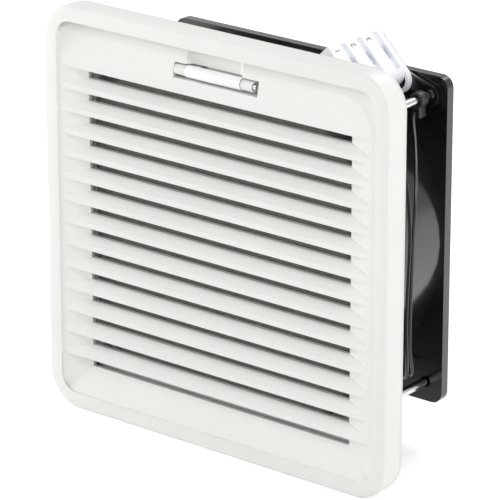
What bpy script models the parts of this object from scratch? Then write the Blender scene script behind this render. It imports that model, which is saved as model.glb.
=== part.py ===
"""Cabinet filter fan for a square panel cut-out.

A louvred cover with a latch closes over a filter mat.  The mat sits in a mounting
frame that snaps into the panel.  A compact axial fan hangs behind the frame on four
long screws, with a wire guard on its outlet and a terminal block at one corner.

Frame: X to the right, Y into the cabinet, Z up.  The origin is the centre of the
panel's outer face.  All lengths are in metres.
"""

import math

import bmesh
import bpy
from mathutils import Matrix, Vector

MM = 0.001

# Fits
FIT_GAP = 0.3 * MM
CUT_MARGIN = 1.0 * MM
JOIN_OVERLAP = 0.4 * MM

# Cover
COVER_SIZE = 150.0 * MM
COVER_CORNER_RADIUS = 13.0 * MM
COVER_EDGE_ROUND = 1.2 * MM
COVER_STAND_OFF = 9.4 * MM
COVER_WALL = 2.2 * MM
RIM_WIDTH = 5.8 * MM
WINDOW_CORNER_RADIUS = 6.5 * MM
GRILLE_THICKNESS = 4.4 * MM
INNER_RIM_WALL = 1.6 * MM

# Louvres, measured down and back from the rim's front
LIP_RECESS = 0.5 * MM
LIP_HEIGHT = 2.0 * MM
SLOT_PITCH = 8.27 * MM
SLOT_HEIGHT = 3.6 * MM
FIRST_LIP_DROP = 22.25 * MM
BOTTOM_PANEL_HEIGHT = 16.6 * MM
POCKET_DEPTH = 2.9 * MM
POCKET_END_INSET = 7.5 * MM
POCKET_END_RUN = 10.1 * MM
SLAT_WALL = 1.8 * MM
BLANK_PANEL_INSET = 1.4 * MM

# Latch
LATCH_DROP = 14.3 * MM
LATCH_AXIS_DEPTH = 2.7 * MM
LATCH_BARREL_RADIUS = 2.2 * MM
LATCH_BARREL_LENGTH = 23.6 * MM
LATCH_KNUCKLE_RADIUS = 1.9 * MM
LATCH_KNUCKLE_LENGTH = 4.6 * MM
LATCH_PIN_RADIUS = 1.0 * MM
LATCH_PIN_ROOM = 2.6 * MM
LATCH_ARM_WIDTH = 16.0 * MM
LATCH_ARM_THICKNESS = 1.4 * MM
LATCH_NOSE_HEIGHT = 1.0 * MM
LATCH_NOSE_LENGTH = 1.5 * MM
LATCH_SWING_ROOM = 2.3 * MM
STRIKE_HEIGHT = 1.4 * MM
SCOOP_WIDTH = 24.8 * MM
SCOOP_DEPTH = 3.6 * MM
SCOOP_END_ROUND = 3.0 * MM
SPRING_WIRE_RADIUS = 0.25 * MM
SPRING_TURNS = 4

# Cover hinge along the bottom edge
HINGE_SETBACK = 3.7 * MM
HINGE_RISE = 2.1 * MM
HINGE_INSET = 31.0 * MM
HINGE_PIN_RADIUS = 0.95 * MM
HINGE_HOOK_RADIUS = 1.9 * MM
HINGE_HOOK_WIDTH = 6.0 * MM
HINGE_NOTCH_WIDTH = 10.0 * MM
HINGE_CHEEK_RADIUS = 2.05 * MM
HINGE_CHEEK_WIDTH = 2.0 * MM
HINGE_EDGE_RELIEF = 1.5 * MM

# Mounting frame
FLANGE_THICKNESS = 1.4 * MM
FLANGE_INSET = 0.3 * MM
PANEL_LAND = 13.0 * MM
COLLAR_WALL = 2.0 * MM
COLLAR_CORNER_RADIUS = 4.0 * MM
FRAME_DEPTH = 9.3 * MM
GRID_THICKNESS = 3.0 * MM
TRAY_INSET = 5.0 * MM
TRAY_WALL = 2.0 * MM
TRAY_FRONT_GAP = 1.5 * MM
INLET_INSET = 1.6 * MM
GRID_BAR = 1.8 * MM
GRID_PITCH = 16.0 * MM
BOSS_RADIUS = 5.0 * MM
BOSS_HEIGHT = 2.0 * MM
GASKET_WIDTH = 4.0 * MM
GASKET_GROOVE_DEPTH = 0.6 * MM

# Filter mat
MAT_CORNER_CUT = 16.4 * MM

# Panel clips
CLIP_WIDTH = 12.0 * MM
CLIP_THICKNESS = 0.5 * MM
CLIP_REACH = 2.2 * MM
PANEL_THICKNESS = 2.0 * MM

# Fan
FAN_INSET = 2.5 * MM
FAN_CORNER_RADIUS = 4.2 * MM
FAN_DEPTH = 38.0 * MM
FAN_FLANGE = 3.5 * MM
FAN_HOLE_INSET = 7.1 * MM
FAN_HOLE_RADIUS = 2.15 * MM
DUCT_INSET = 1.0 * MM
DUCT_MOUTH_WALL = 0.9 * MM
DUCT_THROAT_WALL = 3.3 * MM
DUCT_SEGMENTS = 56
MOTOR_PLATE_RADIUS = 31.5 * MM
MOTOR_PLATE_THICKNESS = 3.7 * MM
STRUT_WIDTH = 5.0 * MM
STRUT_DEPTH = 6.3 * MM
CABLE_STRUT_WIDTH = 8.0 * MM
CABLE_CHANNEL_WIDTH = 5.0 * MM
CABLE_CHANNEL_FLOOR = 0.9 * MM
CABLE_CHANNEL_START = 24.5 * MM

# Rotor and motor
HUB_RADIUS = 32.0 * MM
HUB_WALL = 1.6 * MM
HUB_LENGTH = 25.1 * MM
HUB_SETBACK = 3.3 * MM
BLADE_COUNT = 7
BLADE_TIP_GAP = 0.8 * MM
BLADE_THICKNESS = 1.6 * MM
BLADE_LENGTH = 21.5 * MM
BLADE_WRAP = math.radians(40.0)
BLADE_SKEW = math.radians(14.0)
ROTOR_WALL = 1.5 * MM
ROTOR_LENGTH = 21.8 * MM
SHAFT_RADIUS = 1.9 * MM
BEARING_RADIUS = 3.9 * MM
BEARING_LENGTH = 5.0 * MM
BEARING_TUBE_WALL = 1.8 * MM
BEARING_TUBE_LENGTH = 23.6 * MM
CORE_RADIUS = 28.0 * MM
CORE_LENGTH = 14.0 * MM
CORE_START = 11.9 * MM
CORE_YOKE_WALL = 3.5 * MM
POLE_WIDTH = 9.0 * MM
POLE_SHOE = 3.5 * MM
POLE_GAP_ANGLE = math.radians(16.0)
COIL_WALL = 2.6 * MM
COIL_START_RADIUS = 13.0 * MM
COIL_END_RADIUS = 22.0 * MM
CAP_RADIUS = 7.0 * MM
CAP_THICKNESS = 0.9 * MM

# Screws and guard
SCREW_RADIUS = 1.5 * MM
SCREW_HEAD_RADIUS = 2.8 * MM
SCREW_HEAD_HEIGHT = 2.0 * MM
SCREW_LENGTH = 45.0 * MM
NUT_ACROSS_FLATS = 5.5 * MM
NUT_THICKNESS = 2.2 * MM
GUARD_WIRE_RADIUS = 0.8 * MM
GUARD_RING_COUNT = 4
GUARD_RING_INNER_RADIUS = 16.0 * MM
GUARD_RING_OUTER_INSET = 1.7 * MM
GUARD_RING_SETBACK = 1.2 * MM
GUARD_EYE_RADIUS = 2.6 * MM

# Terminal block, on axes turned to the fan's upper right corner
TERMINAL_TURN = math.radians(45.0)
TERMINAL_POLES = 3
TERMINAL_PITCH = 8.8 * MM
TERMINAL_LEFT = -28.9 * MM
TERMINAL_RIGHT = -9.2 * MM
TERMINAL_DUCT_GAP = 2.0 * MM
TERMINAL_HEIGHT = 13.5 * MM
TERMINAL_ROUND = 4.2 * MM
TERMINAL_FRONT_GAP = 0.3 * MM
TERMINAL_REAR_WALL = 0.8 * MM
TERMINAL_FOOT = 1.7 * MM
TERMINAL_FOOT_RIGHT = -6.0 * MM
TERMINAL_FOOT_RADIUS = 5.0 * MM
TERMINAL_FOOT_RISE = 8.5 * MM
TERMINAL_FOOT_HOLE_RADIUS = 3.6 * MM
CHANNEL_WIDTH = 2.7 * MM
CHANNEL_DEPTH = 1.5 * MM
CHANNEL_START = -28.0 * MM
CHANNEL_END = -13.0 * MM
BUTTON_CENTRE = -20.3 * MM
BUTTON_LENGTH = 4.4 * MM
BUTTON_WIDTH = 2.0 * MM
BUTTON_HEIGHT = 3.8 * MM
BUTTON_SETBACK = 0.7 * MM
BUTTON_TRAVEL = 1.5 * MM
BUTTON_WELL_DEPTH = 9.2 * MM
WIRE_ENTRY_RADIUS = 1.5 * MM
WIRE_ENTRY_RISE = 5.5 * MM
WIRE_ENTRY_SHIFT = 2.1 * MM
WIRE_ENTRY_DEPTH = 4.0 * MM
BRACKET_THICKNESS = 1.2 * MM
BRACKET_EYE_RADIUS = 4.2 * MM
BRACKET_SCREW_RADIUS = 1.2 * MM
BRACKET_SCREW_LENGTH = 3.2 * MM
BRACKET_SCREW_HEAD_RADIUS = 2.2 * MM
BRACKET_SCREW_HEAD_HEIGHT = 1.0 * MM
BRACKET_SCREW_PLACES = ((-18.0 * MM, 9.5 * MM), (-25.2 * MM, 6.0 * MM))

# Leads and the clip that holds one of them to a long screw
LEAD_RADIUS = 0.6 * MM
LEAD_SPACING = 2.2 * MM
LEAD_CLIP_START = 35.8 * MM
LEAD_CLIP_LENGTH = 3.6 * MM
LEAD_CLIP_WIDTH = 3.2 * MM
LEAD_CLIP_WALL = 1.0 * MM
LEAD_CLIP_DROP = 4.2 * MM

# Sizes that follow from the cover's size
SLOT_ROOM = COVER_SIZE - FIRST_LIP_DROP - SLOT_HEIGHT - BOTTOM_PANEL_HEIGHT
SLOT_COUNT = 1 + int(SLOT_ROOM / SLOT_PITCH)
POCKET_FRONT_WIDTH = COVER_SIZE - 2 * POCKET_END_INSET
POCKET_BACK_WIDTH = POCKET_FRONT_WIDTH - 2 * POCKET_END_RUN
HINGE_OFFSET = COVER_SIZE / 2 - HINGE_INSET
COLLAR_SIZE = COVER_SIZE - 2 * PANEL_LAND
TRAY_OPENING = COLLAR_SIZE - 2 * TRAY_INSET
MAT_SIZE = TRAY_OPENING - 2 * FIT_GAP
FAN_SIZE = COLLAR_SIZE - 2 * FAN_INSET
FAN_HOLE_SPACING = FAN_SIZE - 2 * FAN_HOLE_INSET
DUCT_OUTER_RADIUS = FAN_SIZE / 2 - DUCT_INSET
DUCT_MOUTH_RADIUS = DUCT_OUTER_RADIUS - DUCT_MOUTH_WALL
DUCT_THROAT_RADIUS = DUCT_OUTER_RADIUS - DUCT_THROAT_WALL
INLET_RADIUS = DUCT_MOUTH_RADIUS - INLET_INSET
BLADE_TIP_RADIUS = DUCT_THROAT_RADIUS - BLADE_TIP_GAP
GUARD_RING_OUTER_RADIUS = DUCT_THROAT_RADIUS - GUARD_RING_OUTER_INSET
TERMINAL_BOTTOM = DUCT_OUTER_RADIUS + TERMINAL_DUCT_GAP
TERMINAL_TOP = TERMINAL_BOTTOM + TERMINAL_HEIGHT
TERMINAL_FOOT_CENTRE = TERMINAL_BOTTOM + TERMINAL_FOOT_RISE
WIRE_ENTRY_HEIGHT = TERMINAL_BOTTOM + WIRE_ENTRY_RISE

# Places worked out from the sizes above
RIM_FRONT_Y = -COVER_STAND_OFF
LIP_Y = RIM_FRONT_Y + LIP_RECESS
POCKET_Y = LIP_Y + POCKET_DEPTH
GRILLE_BACK_Y = LIP_Y + GRILLE_THICKNESS
COVER_BACK_Y = -FLANGE_THICKNESS - FIT_GAP
WINDOW_HALF = COVER_SIZE / 2 - RIM_WIDTH
FIRST_LIP_Z = COVER_SIZE / 2 - FIRST_LIP_DROP
LATCH_Y = RIM_FRONT_Y + LATCH_AXIS_DEPTH
LATCH_Z = COVER_SIZE / 2 - LATCH_DROP
HINGE_Y = -HINGE_SETBACK
HINGE_Z = -COVER_SIZE / 2 + HINGE_RISE
TRAY_FRONT_Y = GRILLE_BACK_Y + TRAY_FRONT_GAP
STRIKE_Z = TRAY_OPENING / 2 + STRIKE_HEIGHT
GRID_Y = FRAME_DEPTH - GRID_THICKNESS
BOSS_Y = GRID_Y - BOSS_HEIGHT
FAN_FRONT_Y = FRAME_DEPTH + FIT_GAP
FAN_BACK_Y = FAN_FRONT_Y + FAN_DEPTH
HOLE_OFFSET = FAN_HOLE_SPACING / 2
HUB_FRONT_Y = FAN_FRONT_Y + HUB_SETBACK
HUB_BACK_Y = HUB_FRONT_Y + HUB_LENGTH
MOTOR_PLATE_BACK_Y = FAN_BACK_Y - FIT_GAP
MOTOR_PLATE_Y = MOTOR_PLATE_BACK_Y - MOTOR_PLATE_THICKNESS
STRUT_Y = MOTOR_PLATE_BACK_Y - STRUT_DEPTH
CABLE_CHANNEL_Y = STRUT_Y + CABLE_CHANNEL_FLOOR
BEARING_TUBE_Y = MOTOR_PLATE_Y - BEARING_TUBE_LENGTH
ROTOR_FRONT_Y = HUB_FRONT_Y + HUB_WALL + FIT_GAP
GUARD_LEG_Y = FAN_BACK_Y + FIT_GAP + GUARD_WIRE_RADIUS
SCREW_HEAD_Y = GUARD_LEG_Y + GUARD_WIRE_RADIUS + FIT_GAP
TERMINAL_FRONT_Y = FAN_FRONT_Y + FAN_FLANGE + TERMINAL_FRONT_GAP
TERMINAL_BACK_Y = TERMINAL_FRONT_Y + TERMINAL_POLES * TERMINAL_PITCH + TERMINAL_REAR_WALL
BRACKET_Y = TERMINAL_BACK_Y + TERMINAL_FOOT + FIT_GAP

# A flat outline is drawn in X and Y, then stood up in one of these planes
FACING_Y = Matrix.Rotation(math.radians(90), 4, "X")
FACING_X = Matrix(((0, 0, 1, 0), (1, 0, 0, 0), (0, 1, 0, 0), (0, 0, 0, 1)))
TURNED_ABOUT_Y = Matrix.Rotation(math.radians(-90), 4, "X")
TERMINAL_AXES = Matrix.Rotation(TERMINAL_TURN, 4, "Y")
CABLE_AXES = Matrix.Rotation(math.radians(45), 4, "Y")

PARTS = None
CUTTERS = None
MATERIALS = {}


# Scene and materials

def clear_scene():
    for thing in list(bpy.data.objects):
        bpy.data.objects.remove(thing, do_unlink=True)


def make_collection(name):
    collection = bpy.data.collections.new(name)
    bpy.context.scene.collection.children.link(collection)
    return collection


def add_material(name, colour, roughness, metallic=0.0):
    material = bpy.data.materials.new(name)
    material.use_nodes = True
    shader = material.node_tree.nodes["Principled BSDF"]
    shader.inputs["Base Color"].default_value = (*colour, 1.0)
    shader.inputs["Roughness"].default_value = roughness
    shader.inputs["Metallic"].default_value = metallic
    material.diffuse_color = (*colour, 1.0)
    MATERIALS[name] = material


def make_materials():
    add_material("cover_plastic", (0.80, 0.80, 0.78), 0.45)
    add_material("frame_plastic", (0.74, 0.74, 0.72), 0.5)
    add_material("latch_plastic", (0.86, 0.86, 0.85), 0.35)
    add_material("filter_fibre", (0.55, 0.55, 0.52), 0.95)
    add_material("gasket_foam", (0.05, 0.05, 0.05), 0.9)
    add_material("fan_paint", (0.015, 0.015, 0.014), 0.28, 0.2)
    add_material("impeller_plastic", (0.02, 0.02, 0.02), 0.45)
    add_material("zinc_steel", (0.72, 0.72, 0.74), 0.25, 1.0)
    add_material("electrical_steel", (0.35, 0.35, 0.36), 0.45, 1.0)
    add_material("copper_wire", (0.65, 0.28, 0.12), 0.4, 0.8)
    add_material("terminal_plastic", (0.83, 0.84, 0.86), 0.4)
    add_material("button_plastic", (0.45, 0.49, 0.56), 0.45)
    add_material("lead_insulation", (0.02, 0.02, 0.02), 0.4)


# Building blocks

def add_object(name, mesh, material=None):
    thing = bpy.data.objects.new(name, mesh)
    if material:
        mesh.materials.clear()
        mesh.materials.append(MATERIALS[material])
        PARTS.objects.link(thing)
    else:
        thing.hide_render = True
        thing.display_type = "WIRE"
        CUTTERS.objects.link(thing)
    return thing


def mesh_from(name, bm):
    mesh = bpy.data.meshes.new(name)
    bm.to_mesh(mesh)
    bm.free()
    return mesh


def merged(name, meshes, material=None):
    bm = bmesh.new()
    for mesh in meshes:
        bm.from_mesh(mesh)
    return add_object(name, mesh_from(name, bm), material)


def block(low, high):
    size = [b - a for a, b in zip(low, high)]
    centre = [(a + b) / 2 for a, b in zip(low, high)]
    bm = bmesh.new()
    bmesh.ops.create_cube(bm, size=1.0)
    bmesh.ops.scale(bm, vec=size, verts=bm.verts)
    bmesh.ops.translate(bm, vec=centre, verts=bm.verts)
    return mesh_from("block", bm)


def rod(start, end, radius, segments=24, end_radius=None):
    start = Vector(start)
    along = Vector(end) - start
    bm = bmesh.new()
    bmesh.ops.create_cone(bm, cap_ends=True, segments=segments, radius1=radius,
                          radius2=radius if end_radius is None else end_radius,
                          depth=along.length)
    turn = Vector((0, 0, 1)).rotation_difference(along.normalized()).to_matrix().to_4x4()
    place = Matrix.Translation(start + along / 2) @ turn
    bmesh.ops.transform(bm, matrix=place, verts=bm.verts)
    return mesh_from("rod", bm)


def hull(points):
    bm = bmesh.new()
    for point in points:
        bm.verts.new(point)
    bmesh.ops.convex_hull(bm, input=bm.verts)
    bmesh.ops.dissolve_limit(bm, angle_limit=math.radians(0.5), verts=bm.verts, edges=bm.edges)
    bmesh.ops.recalc_face_normals(bm, faces=bm.faces)
    return mesh_from("hull", bm)


def outline(loops, start, end, plane=FACING_Y):
    """Extrude closed outlines from start to end along the plane's normal."""
    curve = bpy.data.curves.new("outline", "CURVE")
    curve.dimensions = "2D"
    curve.fill_mode = "BOTH"
    curve.extrude = (end - start) / 2
    for loop in loops:
        spline = curve.splines.new("POLY")
        spline.points.add(len(loop) - 1)
        for point, (u, v) in zip(spline.points, loop):
            point.co = (u, v, 0.0, 1.0)
        spline.use_cyclic_u = True
    drawn = bpy.data.objects.new("outline", curve)
    CUTTERS.objects.link(drawn)
    bpy.context.view_layer.update()
    seen = drawn.evaluated_get(bpy.context.evaluated_depsgraph_get())
    mesh = bpy.data.meshes.new_from_object(seen)
    bpy.data.objects.remove(drawn)
    bm = bmesh.new()
    bm.from_mesh(mesh)
    bmesh.ops.remove_doubles(bm, verts=bm.verts, dist=0.001 * MM)
    bmesh.ops.dissolve_limit(bm, angle_limit=math.radians(0.5), verts=bm.verts, edges=bm.edges)
    bmesh.ops.recalc_face_normals(bm, faces=bm.faces)
    bmesh.ops.transform(bm, matrix=plane, verts=bm.verts)
    normal = plane.to_3x3() @ Vector((0, 0, 1))
    middle = Vector([abs(n) for n in normal]) * (start + end) / 2
    bmesh.ops.translate(bm, vec=middle, verts=bm.verts)
    return mesh_from("outline", bm)


def turned(name, profile, material, segments=48):
    """Turn (radius, y) points about the Y axis; they run from the back to the front."""
    bm = bmesh.new()
    verts = [bm.verts.new((radius, 0.0, y)) for radius, y in profile]
    for first, second in zip(verts, verts[1:]):
        bm.edges.new((first, second))
    if profile[0][0] > 0.0:
        bm.edges.new((verts[-1], verts[0]))
    thing = add_object(name, mesh_from(name, bm), material)
    thing.matrix_world = TURNED_ABOUT_Y
    screw = thing.modifiers.new("turn", "SCREW")
    screw.axis = "Z"
    screw.steps = segments
    screw.render_steps = segments
    screw.use_merge_vertices = True
    screw.merge_threshold = 0.01 * MM
    return thing


def boolean(target, cutter, operation):
    modifier = target.modifiers.new(operation.lower(), "BOOLEAN")
    modifier.operation = operation
    modifier.solver = "EXACT"
    modifier.object = cutter


def cut(target, name, meshes):
    boolean(target, merged(name, meshes), "DIFFERENCE")


def join(target, name, meshes):
    boolean(target, merged(name, meshes), "UNION")


def smooth(thing, degrees=35.0):
    mesh = thing.data
    mesh.shade_smooth()
    mesh.set_sharp_from_angle(angle=math.radians(degrees))


def set_origin(thing, point):
    thing.data.transform(Matrix.Translation(-Vector(point)))
    thing.location = point


def arc(centre, radius, start, end, steps):
    return [(centre[0] + radius * math.cos(start + (end - start) * i / steps),
             centre[1] + radius * math.sin(start + (end - start) * i / steps))
            for i in range(steps + 1)]


def rounded_square(half, radius, steps=6):
    points = []
    for quarter, (sx, sy) in enumerate(((1, 1), (-1, 1), (-1, -1), (1, -1))):
        centre = (sx * (half - radius), sy * (half - radius))
        start = quarter * math.pi / 2
        points += arc(centre, radius, start, start + math.pi / 2, steps)
    return points


def corners(offset):
    return [(sx * offset, sz * offset) for sx in (-1, 1) for sz in (-1, 1)]


# Front cover

def lip_z(index):
    return FIRST_LIP_Z - index * SLOT_PITCH


def pocket_mesh(lip, foot_front, foot_back, half_front, half_back):
    """The hollow under a lip: its floor slopes from foot_front out to foot_back deep."""
    reach = FIT_GAP / POCKET_DEPTH
    ahead_half = half_front + (half_front - half_back) * reach
    ahead_foot = foot_front - (foot_back - foot_front) * reach
    points = []
    for side in (-1, 1):
        points.append((side * ahead_half, LIP_Y - FIT_GAP, lip))
        points.append((side * ahead_half, LIP_Y - FIT_GAP, ahead_foot))
        points.append((side * half_back, POCKET_Y, foot_back))
        points.append((side * half_back, POCKET_Y, lip))
    return hull(points)


def slot_mesh(index):
    """The way through a louvre, with the hollow behind the slat above it."""
    lip = lip_z(index)
    foot = lip - SLOT_HEIGHT
    slope_rise = SLOT_PITCH - SLOT_HEIGHT - LIP_HEIGHT
    if index == 0:
        slope_rise = WINDOW_HALF - lip - LIP_HEIGHT
    inner_y = LIP_Y + SLAT_WALL
    thin = SLAT_WALL / 4
    back_rise = slope_rise * (GRILLE_BACK_Y - inner_y) / POCKET_DEPTH
    hollow_top = lip + min(LIP_HEIGHT - thin + back_rise, slope_rise + LIP_HEIGHT) - thin
    past = GRILLE_BACK_Y + CUT_MARGIN
    profile = [(POCKET_Y - thin, foot), (past, foot), (past, hollow_top),
               (GRILLE_BACK_Y, hollow_top), (inner_y, lip + LIP_HEIGHT - thin),
               (inner_y, lip - thin), (POCKET_Y - thin, lip - thin)]
    half = POCKET_BACK_WIDTH / 2 - FIT_GAP
    return outline([profile], -half, half, FACING_X)


def top_panel_mesh():
    """The hollow of the panel above the first louvre, deepest along the rim."""
    top = WINDOW_HALF + CUT_MARGIN
    foot = FIRST_LIP_Z + LIP_HEIGHT
    side = WINDOW_HALF - FIT_GAP
    points = []
    for sign in (-1, 1):
        points.append((sign * side, LIP_Y - FIT_GAP, foot))
        points.append((sign * side, LIP_Y - FIT_GAP, top))
        points.append((sign * side, LIP_Y + POCKET_DEPTH / 2, top))
        points.append((sign * POCKET_BACK_WIDTH / 2, LIP_Y + POCKET_DEPTH, top))
    return hull(points)


def make_front_cover():
    half = COVER_SIZE / 2
    shell = outline([rounded_square(half, COVER_CORNER_RADIUS, 8)], RIM_FRONT_Y, COVER_BACK_Y)
    bm = bmesh.new()
    bm.from_mesh(shell)
    front = [e for e in bm.edges if all(v.co.y < RIM_FRONT_Y + FIT_GAP for v in e.verts)]
    bmesh.ops.bevel(bm, geom=front, offset=COVER_EDGE_ROUND, segments=3, profile=0.5,
                    affect="EDGES")
    cover = add_object("front_cover", mesh_from("front_cover", bm), "cover_plastic")

    past_front = RIM_FRONT_Y - CUT_MARGIN
    past_back = COVER_BACK_Y + CUT_MARGIN
    inner = half - COVER_WALL
    inner_radius = COVER_CORNER_RADIUS - COVER_WALL
    rim_inner = WINDOW_HALF + INNER_RIM_WALL
    window = rounded_square(WINDOW_HALF, WINDOW_CORNER_RADIUS)
    cavity = rounded_square(inner, inner_radius, 8)
    groove = rounded_square(rim_inner, WINDOW_CORNER_RADIUS + INNER_RIM_WALL, 6)
    cut(cover, "cover_window", [outline([window], past_front, LIP_Y)])
    cut(cover, "cover_cavity", [outline([cavity], GRILLE_BACK_Y, past_back)])
    cut(cover, "rim_groove", [outline([cavity, groove], RIM_FRONT_Y + COVER_WALL,
                                      GRILLE_BACK_Y + CUT_MARGIN)])

    slope_rise = SLOT_PITCH - SLOT_HEIGHT - LIP_HEIGHT
    pockets = [top_panel_mesh()]
    for index in range(SLOT_COUNT):
        lip = lip_z(index)
        foot = lip - SLOT_HEIGHT
        half_front = POCKET_FRONT_WIDTH / 2
        floor = foot - slope_rise
        if index == SLOT_COUNT - 1:
            half_front = WINDOW_HALF - BLANK_PANEL_INSET / 2
            floor = -WINDOW_HALF + BLANK_PANEL_INSET / 2
        pockets.append(pocket_mesh(lip, floor, foot, half_front, POCKET_BACK_WIDTH / 2))
    cut(cover, "louvre_pockets", pockets)
    cut(cover, "louvre_slots", [slot_mesh(index) for index in range(SLOT_COUNT)])

    # Hollows behind the sloping ends of the pockets keep the wall even
    back_half = POCKET_BACK_WIDTH / 2 + SLAT_WALL
    front_half = WINDOW_HALF - INNER_RIM_WALL / 2
    relief = []
    for sign in (-1, 1):
        profile = [(sign * back_half, GRILLE_BACK_Y - JOIN_OVERLAP),
                   (sign * front_half, LIP_Y + SLAT_WALL),
                   (sign * front_half, GRILLE_BACK_Y + CUT_MARGIN),
                   (sign * back_half, GRILLE_BACK_Y + CUT_MARGIN)]
        relief.append(outline([profile], lip_z(SLOT_COUNT - 1), FIRST_LIP_Z, Matrix.Identity(4)))
    cut(cover, "end_reliefs", relief)
    add_latch_seat(cover)
    add_cover_hinge(cover)
    smooth(cover)
    set_origin(cover, (0.0, HINGE_Y, HINGE_Z))


def add_latch_seat(cover):
    """A pocket for the latch barrel, its two knuckles and the finger scoop above it."""
    knuckle_end = LATCH_BARREL_LENGTH / 2 + FIT_GAP + LATCH_KNUCKLE_LENGTH
    seat_left = -knuckle_end - 2 * FIT_GAP
    seat_right = knuckle_end + LATCH_PIN_ROOM
    room = LATCH_BARREL_RADIUS + FIT_GAP
    floor_y = LATCH_Y + room
    wall = INNER_RIM_WALL
    catch_top = TRAY_OPENING / 2 + TRAY_WALL + FIT_GAP
    low = LATCH_Z - room - FIT_GAP
    high = LATCH_Z + room
    rim_z = WINDOW_HALF + INNER_RIM_WALL / 2
    body_front = LIP_Y + POCKET_DEPTH + FIT_GAP
    join(cover, "latch_seat_upper", [block((seat_left - wall, body_front, catch_top + FIT_GAP),
                                           (seat_right + wall, floor_y + wall, rim_z))])
    join(cover, "latch_seat_lower", [block((seat_left - wall + FIT_GAP, body_front + FIT_GAP,
                                            low - wall / 2),
                                           (seat_right + wall - FIT_GAP,
                                            TRAY_FRONT_Y - FIT_GAP, catch_top + 2 * FIT_GAP))])
    cut(cover, "latch_recess", [block((seat_left, RIM_FRONT_Y - CUT_MARGIN, low),
                                      (seat_right, floor_y, high))])

    # The scoop is a shallow tub with rounded ends, open to the recess below it
    scoop_half = SCOOP_WIDTH / 2
    scoop_floor = LIP_Y + SCOOP_DEPTH
    end = scoop_half - SCOOP_END_ROUND
    tub = [(-scoop_half, RIM_FRONT_Y)]
    tub += arc((-end, scoop_floor - SCOOP_END_ROUND), SCOOP_END_ROUND, math.pi, math.pi / 2, 6)
    tub += arc((end, scoop_floor - SCOOP_END_ROUND), SCOOP_END_ROUND, math.pi / 2, 0.0, 6)
    tub += [(scoop_half, RIM_FRONT_Y)]
    cut(cover, "finger_scoop", [outline([tub], high - FIT_GAP, WINDOW_HALF - FIT_GAP,
                                        Matrix.Identity(4))])
    knuckles = []
    webs = []
    start = LATCH_BARREL_LENGTH / 2 + FIT_GAP
    end = start + LATCH_KNUCKLE_LENGTH
    for sign in (-1, 1):
        knuckles.append(rod((sign * start, LATCH_Y, LATCH_Z), (sign * end, LATCH_Y, LATCH_Z),
                            LATCH_KNUCKLE_RADIUS))
        low_x, high_x = sorted((sign * (start + FIT_GAP), sign * (end - FIT_GAP)))
        webs.append(block((low_x, LATCH_Y, LATCH_Z - LATCH_KNUCKLE_RADIUS / 2),
                          (high_x, floor_y + JOIN_OVERLAP, LATCH_Z + LATCH_KNUCKLE_RADIUS / 2)))
    join(cover, "latch_knuckles", knuckles)
    join(cover, "latch_knuckle_webs", webs)
    bore = LATCH_PIN_RADIUS + FIT_GAP
    cut(cover, "latch_pin_bore", [rod((seat_left + FIT_GAP, LATCH_Y, LATCH_Z),
                                      (seat_right - FIT_GAP, LATCH_Y, LATCH_Z), bore)])
    arm_half = LATCH_ARM_WIDTH / 2 + FIT_GAP
    cut(cover, "latch_arm_way", [block((-arm_half, floor_y - FIT_GAP, low + FIT_GAP / 2),
                                       (arm_half, floor_y + wall + CUT_MARGIN,
                                        LATCH_Z + LATCH_SWING_ROOM))])


def add_cover_hinge(cover):
    """Two notches in the bottom wall, each crossed by a moulded pin."""
    reach = HINGE_CHEEK_RADIUS
    notches = []
    cheeks = []
    pins = []
    cheek = HINGE_CHEEK_WIDTH
    for sign in (-1, 1):
        centre = sign * HINGE_OFFSET
        notch = HINGE_NOTCH_WIDTH / 2
        notches.append(block((centre - notch, HINGE_Y - reach - JOIN_OVERLAP,
                              HINGE_Z - HINGE_RISE - CUT_MARGIN),
                             (centre + notch, COVER_BACK_Y + CUT_MARGIN,
                              HINGE_Z + reach + FIT_GAP)))
        for side in (-1, 1):
            inner = centre + side * (notch - cheek / 2)
            outer = centre + side * (notch + cheek / 2)
            cheeks.append(rod((inner, HINGE_Y, HINGE_Z), (outer, HINGE_Y, HINGE_Z), reach))
        pins.append(rod((centre - notch, HINGE_Y, HINGE_Z), (centre + notch, HINGE_Y, HINGE_Z),
                        HINGE_PIN_RADIUS, 16))
    cut(cover, "hinge_notches", notches)
    relief = HINGE_EDGE_RELIEF
    low = -COVER_SIZE / 2
    bevel = [(COVER_BACK_Y - relief, low - FIT_GAP / 3), (COVER_BACK_Y + CUT_MARGIN, low - FIT_GAP / 3),
             (COVER_BACK_Y + CUT_MARGIN, low + relief + CUT_MARGIN)]
    straight = COVER_SIZE / 2 - COVER_CORNER_RADIUS / 2
    cut(cover, "hinge_edge_relief", [outline([bevel], -straight, straight, FACING_X)])
    join(cover, "hinge_cheeks", cheeks)
    join(cover, "hinge_pins", pins)


# Latch

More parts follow.
